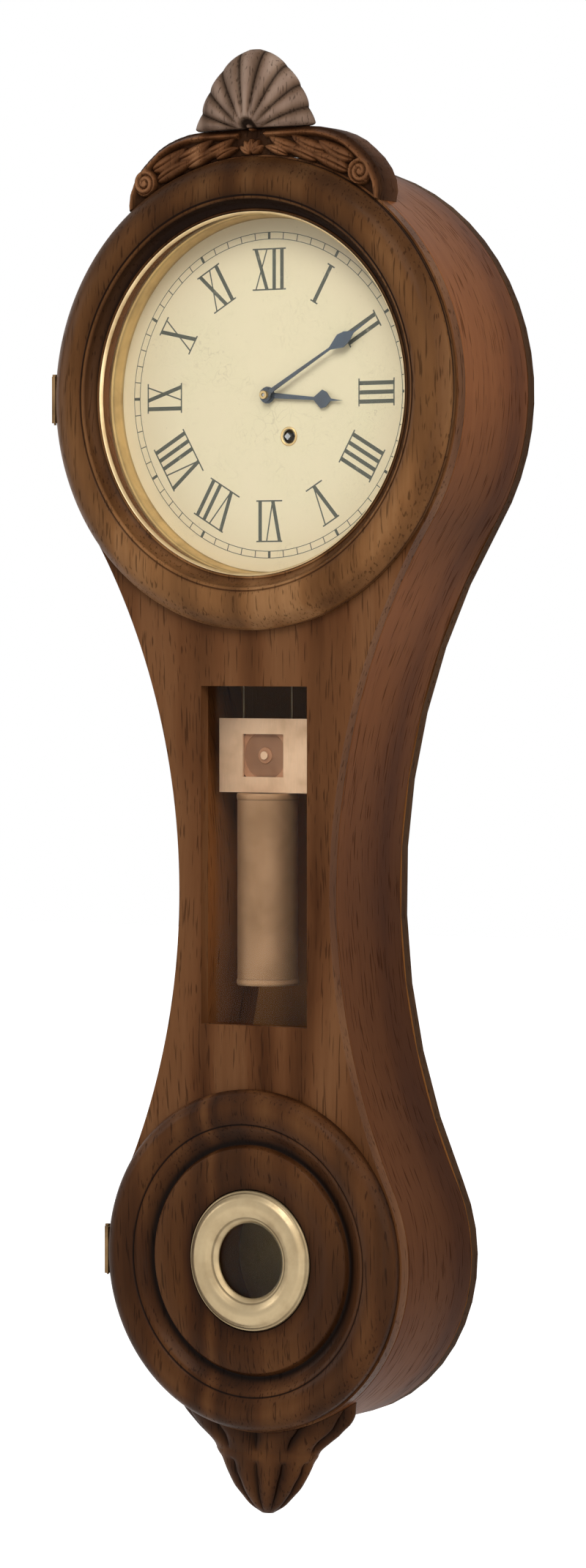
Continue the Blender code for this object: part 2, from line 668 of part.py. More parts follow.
def make_hinge(prefix, radius, z, axis):
    """A butt hinge at the left of a round door: two leaves with knuckles and a pin."""
    x, y = -(radius + HINGE_OFFSET), FRONT - GAP / 2
    half, middle = HINGE_LENGTH / 2, HINGE_MIDDLE / 2
    reach = KNUCKLE_RADIUS + GAP
    leaf_out, leaf_in = -(radius + GAP + LEAF_THICKNESS), -(radius + GAP)
    bore = HINGE_PIN_RADIUS + GAP

    case_leaf = make_piece(prefix + "_hinge_case_leaf",
                           *box(leaf_out, leaf_in, y + reach, y + LEAF_DEPTH, z - half, z + half), "brass")
    for side, name in ((-1, "low"), (1, "high")):
        near, far = sorted((z + side * (middle + GAP), z + side * half))
        knuckle = make_piece(prefix + "_knuckle_" + name,
                             *turned([(KNUCKLE_RADIUS, near), (KNUCKLE_RADIUS, far)], SHAFT_ROUND, "Z", x, y))
        tongue = make_piece(prefix + "_web_" + name,
                            *box(leaf_out, leaf_in, y, y + reach + GAP, near, far))
        boolean(case_leaf, knuckle, "UNION")
        boolean(case_leaf, tongue, "UNION")
    hole = make_piece(prefix + "_case_bore",
                      *turned([(bore, z - half - OVERRUN), (bore, z + half + OVERRUN)], PIN_ROUND, "Z", x, y))
    boolean(case_leaf, hole, "DIFFERENCE")

    edge = -(radius - DOOR_MARGIN + GAP)
    door_leaf = make_piece(prefix + "_hinge_door_leaf",
                           *box(leaf_out, edge, y - reach - DOOR_LEAF_DEPTH, y - reach, z - half, z + half),
                           "brass", axis)
    knuckle = make_piece(prefix + "_knuckle_middle",
                         *turned([(KNUCKLE_RADIUS, z - middle), (KNUCKLE_RADIUS, z + middle)], SHAFT_ROUND,
                                 "Z", x, y), None, axis)
    tongue = make_piece(prefix + "_web_middle",
                        *box(leaf_out, leaf_in, y - reach - GAP, y, z - middle, z + middle), None, axis)
    hole = make_piece(prefix + "_door_bore",
                      *turned([(bore, z - half - OVERRUN), (bore, z + half + OVERRUN)], PIN_ROUND, "Z", x, y),
                      None, axis)
    boolean(door_leaf, knuckle, "UNION")
    boolean(door_leaf, tongue, "UNION")
    boolean(door_leaf, hole, "DIFFERENCE")

    head_z = z + half + GAP
    pin = [(HINGE_PIN_RADIUS, z - half - HINGE_PIN_HEAD_LENGTH), (HINGE_PIN_RADIUS, head_z),
           (HINGE_PIN_HEAD, head_z), (HINGE_PIN_HEAD, head_z + HINGE_PIN_HEAD_LENGTH)]
    make_piece(prefix + "_hinge_pin", *turned(pin, PIN_ROUND, "Z", x, y), "brass")


def make_catch(prefix, radius, z, axis):
    """A brass tongue on the back of a door and the keeper that it springs into."""
    x = radius - CATCH_INSET
    half, tall = TONGUE_THICKNESS / 2, TONGUE_HEIGHT / 2
    make_piece(prefix + "_catch_tongue",
               *box(x - half, x + half, FRONT, FRONT + TONGUE_LENGTH, z - tall, z + tall), "brass", axis)
    inner = rectangle(x - half - CATCH_CLEARANCE, x + half + CATCH_CLEARANCE,
                      z - tall - CATCH_CLEARANCE, z + tall + CATCH_CLEARANCE)
    grow = CATCH_CLEARANCE + KEEPER_FRAME
    outer = rectangle(x - half - grow, x + half + grow, z - tall - grow, z + tall + grow)
    back = PANEL_BACK + GAP
    make_piece(prefix + "_catch_keeper", *plate([outer, inner], back, back + KEEPER_THICKNESS), "brass")


def make_upper_door():
    """The round door of the dial: a turned bezel, its glass and a brass sight ring."""
    axis = make_axis("upper_door_axis", -(HEAD_RADIUS + HINGE_OFFSET), FRONT - GAP / 2, 0)
    outer = HEAD_RADIUS - DOOR_MARGIN
    glass_low = 2 * GAP
    rebate = glass_low + GLASS_THICKNESS + GAP
    lip = UPPER_SIGHT_RADIUS + UPPER_SIGHT_WIDTH + GAP
    glass_radius = lip + GLASS_LAP
    bevel = lip + UPPER_BEVEL_WIDTH
    swell = outer - bevel
    swell_shares = ((0.0, 0.30), (0.10, 0.56), (0.30, 0.86), (0.58, 1.0), (0.84, 0.97), (1.0, 0.86))
    profile = [(outer, GAP)]
    profile += [(outer - swell * inward, UPPER_BEZEL_HEIGHT * rise) for inward, rise in swell_shares]
    profile += [(lip + UPPER_LIP_WIDTH, UPPER_LIP_HEIGHT), (lip, UPPER_LIP_HEIGHT), (lip, rebate),
                (glass_radius + GAP, rebate), (glass_radius + GAP, GAP)]
    make_piece("upper_bezel", *turned_ring([(r, FRONT - f) for r, f in profile], LARGE_ROUND), "walnut", axis)
    glass = [(glass_radius, FRONT - glass_low), (glass_radius, FRONT - glass_low - GLASS_THICKNESS)]
    make_piece("upper_glass", *turned(glass, LARGE_ROUND), "glass", axis)
    inner, edge, base = UPPER_SIGHT_RADIUS, UPPER_SIGHT_RADIUS + UPPER_SIGHT_WIDTH, rebate
    ring = [(edge, base), (edge, base + UPPER_SIGHT_HEIGHT), (inner, base + GAP), (inner, base)]
    make_piece("upper_sight_ring", *turned_ring([(r, FRONT - f) for r, f in ring], LARGE_ROUND), "brass", axis)
    make_hinge("upper", HEAD_RADIUS, 0.0, axis)
    make_catch("upper", HEAD_RADIUS, 0.0, axis)


def make_lower_door():
    """The round door of the foot: a dished bezel with a broad brass sight ring round its window."""
    foot_z = -FOOT_BELOW_DIAL
    axis = make_axis("lower_door_axis", -(FOOT_RADIUS + HINGE_OFFSET), FRONT - GAP / 2, foot_z)
    outer = FOOT_RADIUS - DOOR_MARGIN
    glass_low = 2 * GAP
    rebate = glass_low + GLASS_THICKNESS + GAP
    floor = rebate + 2 * GAP
    ring_edge = LOWER_SIGHT_RADIUS + LOWER_SIGHT_WIDTH
    groove = LOWER_GROOVE_RADIUS
    groove_inner = groove - LOWER_GROOVE_WIDTH / 2
    seat_edge = ring_edge + GAP
    swell, dish = outer - groove - LOWER_GROOVE_WIDTH / 2, groove_inner - seat_edge
    seat = LOWER_SEAT_RADIUS
    glass_radius = seat + GLASS_LAP
    swell_shares = ((0.0, 0.34), (0.10, 0.62), (0.32, 0.93), (0.56, 1.0), (0.78, 0.80))
    dish_shares = ((0.88, 0.90), (0.70, 1.0), (0.30, 0.78), (0.0, 0.60))
    profile = [(outer, GAP)]
    profile += [(outer - swell * inward, LOWER_BEZEL_HEIGHT * rise) for inward, rise in swell_shares]
    profile += [(groove + LOWER_GROOVE_WIDTH, LOWER_GROOVE_FLOOR + GAP), (groove_inner, LOWER_GROOVE_FLOOR)]
    profile += [(seat_edge + dish * outward, LOWER_DISH_HEIGHT * rise) for outward, rise in dish_shares]
    profile += [(seat_edge, floor), (seat, floor), (seat, rebate), (glass_radius + GAP, rebate),
                (glass_radius + GAP, GAP)]
    make_piece("lower_bezel", *turned_ring([(r, FRONT - f) for r, f in profile], MIDDLE_ROUND, "Y", 0, foot_z),
               "dark_walnut", axis)
    glass = [(glass_radius, FRONT - glass_low), (glass_radius, FRONT - glass_low - GLASS_THICKNESS)]
    make_piece("lower_glass", *turned(glass, SMALL_ROUND, "Y", 0, foot_z), "glass", axis)
    base = floor + GAP
    ring_shares = ((0.0, 0.0), (0.03, 0.36), (0.26, 0.92), (0.50, 1.0), (0.76, 0.70), (1.0, 0.16), (1.0, 0.0))
    ring = [(ring_edge - LOWER_SIGHT_WIDTH * inward, base + LOWER_SIGHT_HEIGHT * rise)
            for inward, rise in ring_shares]
    ring = turned_ring([(r, FRONT - f) for r, f in ring], MIDDLE_ROUND, "Y", 0, foot_z)
    make_piece("lower_sight_ring", *ring, "brass", axis)
    make_hinge("lower", FOOT_RADIUS, foot_z, axis)
    make_catch("lower", FOOT_RADIUS, foot_z, axis)


def foot_places():
    """Where the three dial feet stand on the front plate."""
    side = PLATE_HALF_WIDTH - DIAL_FOOT_INSET
    high, low = PLATE_TOP - DIAL_FOOT_INSET, PLATE_BOTTOM - DIAL_FOOT_INSET
    return [(-side, high), (side, high), (side, -low)]


def make_dial():
    """The painted dial with its riveted feet, and the brass rim between it and the panel."""
    holes = [circle(DIAL_CENTRE_HOLE, SHAFT_ROUND), circle(WINDING_HOLE, SHAFT_ROUND, DRUM_X, DRUM_Z)]
    dial = make_piece("dial", *plate([circle(DIAL_RADIUS, LARGE_ROUND)] + holes, DIAL_FACE, DIAL_BACK),
                      "dial_paint")
    for i, (x, z) in enumerate(foot_places()):
        foot = turned([(DIAL_FOOT_RADIUS, DIAL_BACK - GAP), (DIAL_FOOT_RADIUS, PLATE_FRONT - GAP)],
                      PIN_ROUND, "Y", x, z)
        boolean(dial, make_piece(f"dial_foot_{i + 1}", *foot), "UNION")
    face, back = DIAL_FACE - GAP, PANEL_BACK + GAP
    inner, outer = DIAL_VISIBLE_RADIUS, DIAL_RADIUS
    profile = [(outer, face), (outer, back), (inner + DIAL_RIM_FLARE, back), (inner, face)]
    make_piece("dial_rim", *turned_ring(profile, LARGE_ROUND), "brass")


def pillar_places():
    side = PLATE_HALF_WIDTH - PILLAR_INSET
    return [(x, z) for x in (-side, side) for z in (-PLATE_BOTTOM + PILLAR_INSET, PLATE_TOP - PILLAR_INSET)]


def make_plates():
    """The movement's two plates, the pillars riveted to the back one, and the wall brackets."""
    outline = rectangle(-PLATE_HALF_WIDTH, PLATE_HALF_WIDTH, -PLATE_BOTTOM, PLATE_TOP)
    pivot = PIVOT_RADIUS + RUNNING_GAP
    small = [(THIRD_X, THIRD_Z), (0.0, ESCAPE_Z), (0.0, SWING_Z)]
    front_holes = [circle(pivot, PIN_ROUND, x, z) for x, z in small]
    front_holes.append(circle(ARBOR_RADIUS + RUNNING_GAP, PIN_ROUND))
    front_holes.append(circle(WINDING_ARBOR_RADIUS + RUNNING_GAP, SHAFT_ROUND, DRUM_X, DRUM_Z))
    sheet = plate([outline] + front_holes, PLATE_FRONT, TRAIN_FRONT)
    front = make_piece("movement_front_plate", *sheet, "brass")
    stud = turned([(STUD_RADIUS, PLATE_FRONT - STUD_LENGTH), (STUD_RADIUS, PLATE_FRONT + GAP)],
                  PIN_ROUND, "Y", STUD_X, STUD_Z)
    boolean(front, make_piece("minute_wheel_stud", *stud), "UNION")
    stud = turned([(LINE_STUD_RADIUS, TRAIN_FRONT - GAP), (LINE_STUD_RADIUS, TRAIN_FRONT + LINE_STUD_LENGTH)],
                  PIN_ROUND, "Y", LINE_LEFT, LINE_STUD_Z)
    boolean(front, make_piece("line_stud", *stud), "UNION")

    back_holes = [circle(pivot, PIN_ROUND, x, z) for x, z in small[:2]]
    back_holes.append(circle(pivot + RUNNING_GAP, PIN_ROUND, 0, SWING_Z))
    back_holes.append(circle(pivot, PIN_ROUND))
    back_holes.append(circle(pivot, PIN_ROUND, DRUM_X, DRUM_Z))
    back = make_piece("movement_back_plate", *plate([outline] + back_holes, TRAIN_BACK, PLATE_REAR), "brass")
    for i, (x, z) in enumerate(pillar_places()):
        ends = [(PILLAR_RADIUS, TRAIN_FRONT + GAP), (PILLAR_RADIUS, TRAIN_BACK + GAP)]
        pillar = turned(ends, PIN_ROUND, "Y", x, z)
        boolean(back, make_piece(f"pillar_{i + 1}", *pillar), "UNION")

    outer = PLATE_HALF_WIDTH - BRACKET_INSET
    inner = outer - BRACKET_THICKNESS
    y0, y1 = PLATE_REAR + GAP, BACK_FRONT - GAP
    for side, name in ((-1, "left"), (1, "right")):
        section = [(inner - BRACKET_FLANGE, y0), (outer, y0), (outer, y1 - BRACKET_THICKNESS),
                   (outer + BRACKET_FLANGE, y1 - BRACKET_THICKNESS), (outer + BRACKET_FLANGE, y1), (inner, y1),
                   (inner, y0 + BRACKET_THICKNESS), (inner - BRACKET_FLANGE, y0 + BRACKET_THICKNESS)]
        make_piece("movement_bracket_" + name,
                   *plate([[(side * x, y) for x, y in section]], -BRACKET_HEIGHT / 2, BRACKET_HEIGHT / 2, "Z"),
                   "steel")


def make_arbor(name, x, z, front, back, radius, axis, pinion=None):
    """A steel arbor, with a pinion cut on it where one is given as (leaves, module, phase, low, high)."""
    arbor = make_piece(name, *turned([(radius, front), (radius, back)], SHAFT_ROUND, "Y", x, z), "steel", axis)
    if pinion:
        leaves, module, phase, low, high = pinion
        shape = plate([leaved(leaves, module, x, z, phase)], low, high)
        boolean(arbor, make_piece(name + "_leaves", *shape, None, axis), "UNION")
    return arbor


def make_wheel(name, teeth, module, x, z, phase, low, bore, axis, spokes=4):
    """A crossed-out brass wheel."""
    loops = [toothed(teeth, module, x, z, phase), circle(bore, PIN_ROUND, x, z)]
    loops += windows(teeth * module / 2, spokes, x, z)
    return make_piece(name, *plate(loops, low, low + WHEEL_THICKNESS), "brass", axis)


def pinion_span(layer):
    """The stretch of an arbor that a pinion takes, either side of the wheel it meets."""
    middle = TRAIN_FRONT + layer + WHEEL_THICKNESS / 2
    return middle - PINION_LENGTH / 2, middle + PINION_LENGTH / 2


def make_train():
    """The great wheel, the centre, third and escape wheels, and the arbors that carry them."""
    great_phase, centre_phase = mesh_phase(GREAT_TEETH, CENTRE_LEAVES, DRUM_X, DRUM_Z, 0, 0)
    centre_wheel_phase, third_phase = mesh_phase(CENTRE_TEETH, THIRD_LEAVES, 0, 0, THIRD_X, THIRD_Z)
    third_wheel_phase, escape_phase = mesh_phase(THIRD_TEETH, ESCAPE_LEAVES, THIRD_X, THIRD_Z, 0, ESCAPE_Z)
    seat = ARBOR_RADIUS + GAP
    rear = PLATE_REAR - GAP

    great = make_axis("great_wheel_axis", DRUM_X, PLATE_FRONT, DRUM_Z)
    make_wheel("great_wheel", GREAT_TEETH, GREAT_MODULE, DRUM_X, DRUM_Z, great_phase,
               TRAIN_FRONT + GREAT_WHEEL_LAYER, WINDING_ARBOR_RADIUS + GAP, great, 5)

    centre = make_axis("minute_axis", 0, PLATE_FRONT, 0)
    hand_front = DIAL_FACE - MINUTE_HAND_STAND_OFF - HAND_THICKNESS - HAND_NUT_LENGTH + GAP
    make_arbor("centre_arbor", 0, 0, hand_front, TRAIN_BACK - GAP, ARBOR_RADIUS, centre,
               (CENTRE_LEAVES, GREAT_MODULE, centre_phase, *pinion_span(GREAT_WHEEL_LAYER)))
    boolean(bpy.data.objects["centre_arbor"],
            make_piece("centre_pivot", *turned([(PIVOT_RADIUS, TRAIN_BACK - 2 * GAP), (PIVOT_RADIUS, rear)],
                                               SHAFT_ROUND), None, centre), "UNION")
    make_wheel("centre_wheel", CENTRE_TEETH, TRAIN_MODULE, 0, 0, centre_wheel_phase,
               TRAIN_FRONT + CENTRE_WHEEL_LAYER, seat, centre)

    third = make_axis("third_axis", THIRD_X, PLATE_FRONT, THIRD_Z)
    make_arbor("third_arbor", THIRD_X, THIRD_Z, PLATE_FRONT + GAP, rear, PIVOT_RADIUS, third,
               (THIRD_LEAVES, TRAIN_MODULE, third_phase, *pinion_span(CENTRE_WHEEL_LAYER)))
    make_wheel("third_wheel", THIRD_TEETH, TRAIN_MODULE, THIRD_X, THIRD_Z, third_wheel_phase,
               TRAIN_FRONT + THIRD_WHEEL_LAYER, PIVOT_RADIUS + GAP, third)

    escape = make_axis("escape_axis", 0, PLATE_FRONT, ESCAPE_Z)
    arbor = make_arbor("escape_wheel", 0, ESCAPE_Z, PLATE_FRONT + GAP, rear, PIVOT_RADIUS, escape,
                       (ESCAPE_LEAVES, TRAIN_MODULE, escape_phase, *pinion_span(THIRD_WHEEL_LAYER)))
    step = 2 * math.pi / ESCAPE_TEETH
    teeth = []
    for i in range(ESCAPE_TEETH):
        for share, radius in ((0.0, ESCAPE_RADIUS - ESCAPE_TOOTH_DEPTH), (0.20, ESCAPE_RADIUS),
                              (0.45, ESCAPE_RADIUS - ESCAPE_TOOTH_DEPTH)):
            angle = (i + share) * step
            teeth.append((radius * math.cos(angle), ESCAPE_Z + radius * math.sin(angle)))
    low = TRAIN_FRONT + ESCAPE_WHEEL_LAYER
    loops = [teeth] + windows(ESCAPE_RADIUS - ESCAPE_TOOTH_DEPTH, 4, 0, ESCAPE_Z)
    wheel = plate(loops, low, low + ESCAPE_THICKNESS)
    boolean(arbor, make_piece("escape_teeth", *wheel, None, escape), "UNION")
    return great, centre


def make_anchor():
    """The anchor over the escape wheel, its arbor and the crutch that drives the pendulum."""
    axis = make_axis("anchor_axis", 0, PLATE_FRONT, SWING_Z)
    near = ESCAPE_RADIUS + PALLET_CLEARANCE

    def point(radius, degrees):
        angle = math.radians(degrees)
        return radius * math.sin(angle), ESCAPE_Z + radius * math.cos(angle)

    arm_shares = ((1.7, 40), (1.3, 56), (0.0, 54), (0.0, 45), (0.6, 34))
    right = [(0.0, SWING_Z + ANCHOR_HUB), (ANCHOR_HUB, SWING_Z)]
    right += [point(near + ANCHOR_ARM * outward, degrees) for outward, degrees in arm_shares]
    right.append((0.0, SWING_Z - ANCHOR_HUB))
    outline = right + [(-x, z) for x, z in right[-2:0:-1]]
    low = TRAIN_FRONT + ESCAPE_WHEEL_LAYER - PALLET_THICKNESS / 4
    make_piece("anchor", *plate([outline, circle(PIVOT_RADIUS + GAP, PIN_ROUND, 0, SWING_Z)],
                                low, low + PALLET_THICKNESS), "steel", axis)
    crutch_front = PLATE_REAR + CRUTCH_BEHIND_PLATE
    crutch_back = crutch_front + CRUTCH_THICKNESS
    crutch = make_arbor("crutch", 0, SWING_Z, PLATE_FRONT + GAP, crutch_back + GAP, PIVOT_RADIUS, axis)
    half = CRUTCH_WIDTH / 2
    bottom = SWING_Z - CRUTCH_LENGTH
    bar = rectangle(-half, half, bottom, SWING_Z)[:2] + arc(half, 0, math.pi, 6, 0, SWING_Z)
    boolean(crutch, make_piece("crutch_bar", *plate([bar], crutch_front, crutch_back), None, axis), "UNION")
    prong = ROD_RADIUS + GAP
    reach = PENDULUM_Y + ROD_RADIUS + CRUTCH_OVERREACH
    top = bottom + CRUTCH_PRONG_HEIGHT
    fork = [(-prong - CRUTCH_PRONG, crutch_front), (prong + CRUTCH_PRONG, crutch_front),
            (prong + CRUTCH_PRONG, reach), (prong, reach), (prong, crutch_back), (-prong, crutch_back),
            (-prong, reach), (-prong - CRUTCH_PRONG, reach)]
    boolean(crutch, make_piece("crutch_fork", *plate([fork], bottom - GAP, top, "Z"), None, axis), "UNION")


def make_pendulum():
    """The cock and spring that the pendulum hangs from, its rod, its bob and the rating nut."""
    cock_low = SWING_Z + COCK_RISE
    cock_back = PENDULUM_Y + SPRING_WIDTH / 2 + COCK_OVERHANG
    cock = make_piece("suspension_cock", *box(-COCK_HALF_WIDTH, COCK_HALF_WIDTH, PLATE_REAR + GAP, cock_back,
                                              cock_low, cock_low + COCK_HEIGHT), "brass")
    slot = SPRING_THICKNESS / 2 + GAP
    half = SPRING_WIDTH / 2
    cut = box(-slot, slot, PENDULUM_Y - half - GAP, PENDULUM_Y + half + GAP, cock_low - OVERRUN,
              cock_low + COCK_HEIGHT + OVERRUN)
    boolean(cock, make_piece("suspension_slot", *cut), "DIFFERENCE")

    axis = make_axis("pendulum_axis", 0, PENDULUM_Y, SWING_Z)
    thin = SPRING_THICKNESS / 2
    rod_top = SWING_Z - SPRING_DROP - GAP
    make_piece("suspension_spring", *box(-thin, thin, PENDULUM_Y - half, PENDULUM_Y + half,
                                         SWING_Z - SPRING_DROP, SWING_Z + SPRING_RISE), "steel", axis)
    bob_z = -BOB_BELOW_DIAL
    nut_top = bob_z - BOB_RADIUS - GAP
    rod_bottom = nut_top - NUT_HEIGHT - ROD_TAIL
    make_piece("pendulum_rod", *turned([(ROD_RADIUS, rod_bottom), (ROD_RADIUS, rod_top)], PIN_ROUND, "Z",
                                       0, PENDULUM_Y), "steel", axis)
    bob_axis = make_axis("bob_axis", 0, PENDULUM_Y, bob_z, axis)
    lens_shares = ((0.10, 1.0), (0.45, 0.93), (0.75, 0.72), (0.93, 0.42), (1.0, 0.15))
    lens = [(BOB_RADIUS * r, PENDULUM_Y - BOB_HALF_THICKNESS * t) for r, t in lens_shares]
    lens += [(BOB_RADIUS * r, PENDULUM_Y + BOB_HALF_THICKNESS * t) for r, t in reversed(lens_shares)]
    bob = make_piece("pendulum_bob", *turned(lens, SMALL_ROUND, "Y", 0, bob_z), "brass", bob_axis)
    bore = ROD_RADIUS + RUNNING_GAP
    reach = BOB_RADIUS + OVERRUN
    hole = turned([(bore, bob_z - reach), (bore, bob_z + reach)], PIN_ROUND, "Z", 0, PENDULUM_Y)
    boolean(bob, make_piece("bob_bore", *hole, None, bob_axis), "DIFFERENCE")
    nut_axis = make_axis("rating_nut_axis", 0, PENDULUM_Y, nut_top, bob_axis)
    make_piece("rating_nut", *tube(bore, NUT_RADIUS, nut_top - NUT_HEIGHT, nut_top, SMALL_ROUND, "Z",
                                   0, PENDULUM_Y), "brass", nut_axis)


def hand(length, hub, bore, leaf_share, angle):
    """A spade hand: a slim shaft, a leaf before the point and a round hub, turned to its hour."""
    shaft, leaf = hub * HAND_SHAFT_SHARE, length * leaf_share
    root_share, rise_share = 1.25, 0.96
    edge_shares = ((0.0, 0.7, 0.62), (0.5, 0.0, 0.66), (1.0, 0.0, 0.72), (0.8, 0.0, 0.78), (0.0, 0.6, 0.84))
    right = [(shaft * root_share, hub * rise_share)]
    right += [(leaf * wide + shaft * slim, length * along) for wide, slim, along in edge_shares]
    start = math.asin(right[0][0] / hub)
    round_hub = arc(hub, math.pi / 2 + start, 2.5 * math.pi - start, SHAFT_ROUND)
    outline = round_hub[1:-1] + right + [(0.0, length)] + [(-x, z) for x, z in reversed(right)]
    return [turn_about(loop, angle) for loop in (outline, circle(bore, PIN_ROUND))]


def make_motion_work(centre):
    """The cannon pinion, the minute wheel and the hour wheel behind the dial, and the hands before it."""
    cannon_phase = math.atan2(STUD_Z, STUD_X)
    motion_back = PLATE_FRONT - MOTION_LAYER
    first = motion_back - MOTION_THICKNESS
    second = first - 2 * MOTION_THICKNESS
    minute_hand_back = DIAL_FACE - MINUTE_HAND_STAND_OFF
    cannon_bore = ARBOR_RADIUS + GAP
    pipe = tube(cannon_bore, CANNON_RADIUS, minute_hand_back - HAND_THICKNESS, motion_back, SHAFT_ROUND)
    cannon = make_piece("cannon_pinion", *pipe, "steel", centre)
    gear = [toothed(CANNON_TEETH, CANNON_MODULE, 0, 0, cannon_phase + math.pi / CANNON_TEETH),
            circle(cannon_bore, SHAFT_ROUND)]
    boolean(cannon, make_piece("cannon_teeth", *plate(gear, first, motion_back), None, centre), "UNION")

    minute = make_axis("minute_wheel_axis", STUD_X, PLATE_FRONT, STUD_Z)
    bore = STUD_RADIUS + RUNNING_GAP
    loops = [toothed(MINUTE_TEETH, CANNON_MODULE, STUD_X, STUD_Z, cannon_phase + math.pi),
             circle(bore, PIN_ROUND, STUD_X, STUD_Z)]
    wheel = make_piece("minute_wheel", *plate(loops, first, motion_back), "brass", minute)
    toward_hour = cannon_phase + math.pi
    loops = [leaved(MINUTE_LEAVES, HOUR_MODULE, STUD_X, STUD_Z, toward_hour + math.pi / MINUTE_LEAVES),
             circle(bore, PIN_ROUND, STUD_X, STUD_Z)]
    boolean(wheel, make_piece("minute_leaves", *plate(loops, second, first + GAP), None, minute), "UNION")

    hour = make_axis("hour_axis", 0, PLATE_FRONT, 0)
    pipe_bore = CANNON_RADIUS + RUNNING_GAP
    hour_hand_back = DIAL_FACE - HOUR_HAND_STAND_OFF
    hour_wheel = make_piece("hour_wheel", *tube(pipe_bore, HOUR_PIPE_RADIUS, hour_hand_back - HAND_THICKNESS,
                                                second + MOTION_THICKNESS, SHAFT_ROUND), "brass", hour)
    loops = [toothed(HOUR_TEETH, HOUR_MODULE, 0, 0, cannon_phase), circle(pipe_bore, SHAFT_ROUND)]
    boolean(hour_wheel, make_piece("hour_teeth", *plate(loops, second, second + MOTION_THICKNESS), None, hour),
            "UNION")

    minutes_turn = 2 * math.pi * SHOWN_MINUTE / 60
    hours_turn = 2 * math.pi * (SHOWN_HOUR + SHOWN_MINUTE / 60) / 12
    loops = hand(HOUR_HAND_LENGTH, HOUR_HUB_RADIUS, HOUR_PIPE_RADIUS + GAP, HOUR_LEAF_SHARE, hours_turn)
    make_piece("hour_hand", *plate(loops, hour_hand_back - HAND_THICKNESS, hour_hand_back),
               "blued_steel", hour)
    loops = hand(MINUTE_HAND_LENGTH, MINUTE_HUB_RADIUS, CANNON_RADIUS + GAP, MINUTE_LEAF_SHARE, minutes_turn)
    make_piece("minute_hand", *plate(loops, minute_hand_back - HAND_THICKNESS, minute_hand_back),
               "blued_steel", centre)
    nut_back = minute_hand_back - HAND_THICKNESS - GAP
    make_piece("hand_nut", *tube(ARBOR_RADIUS + GAP, HAND_NUT_RADIUS, nut_back - HAND_NUT_LENGTH, nut_back,
                                 SHAFT_ROUND), "brass", centre)


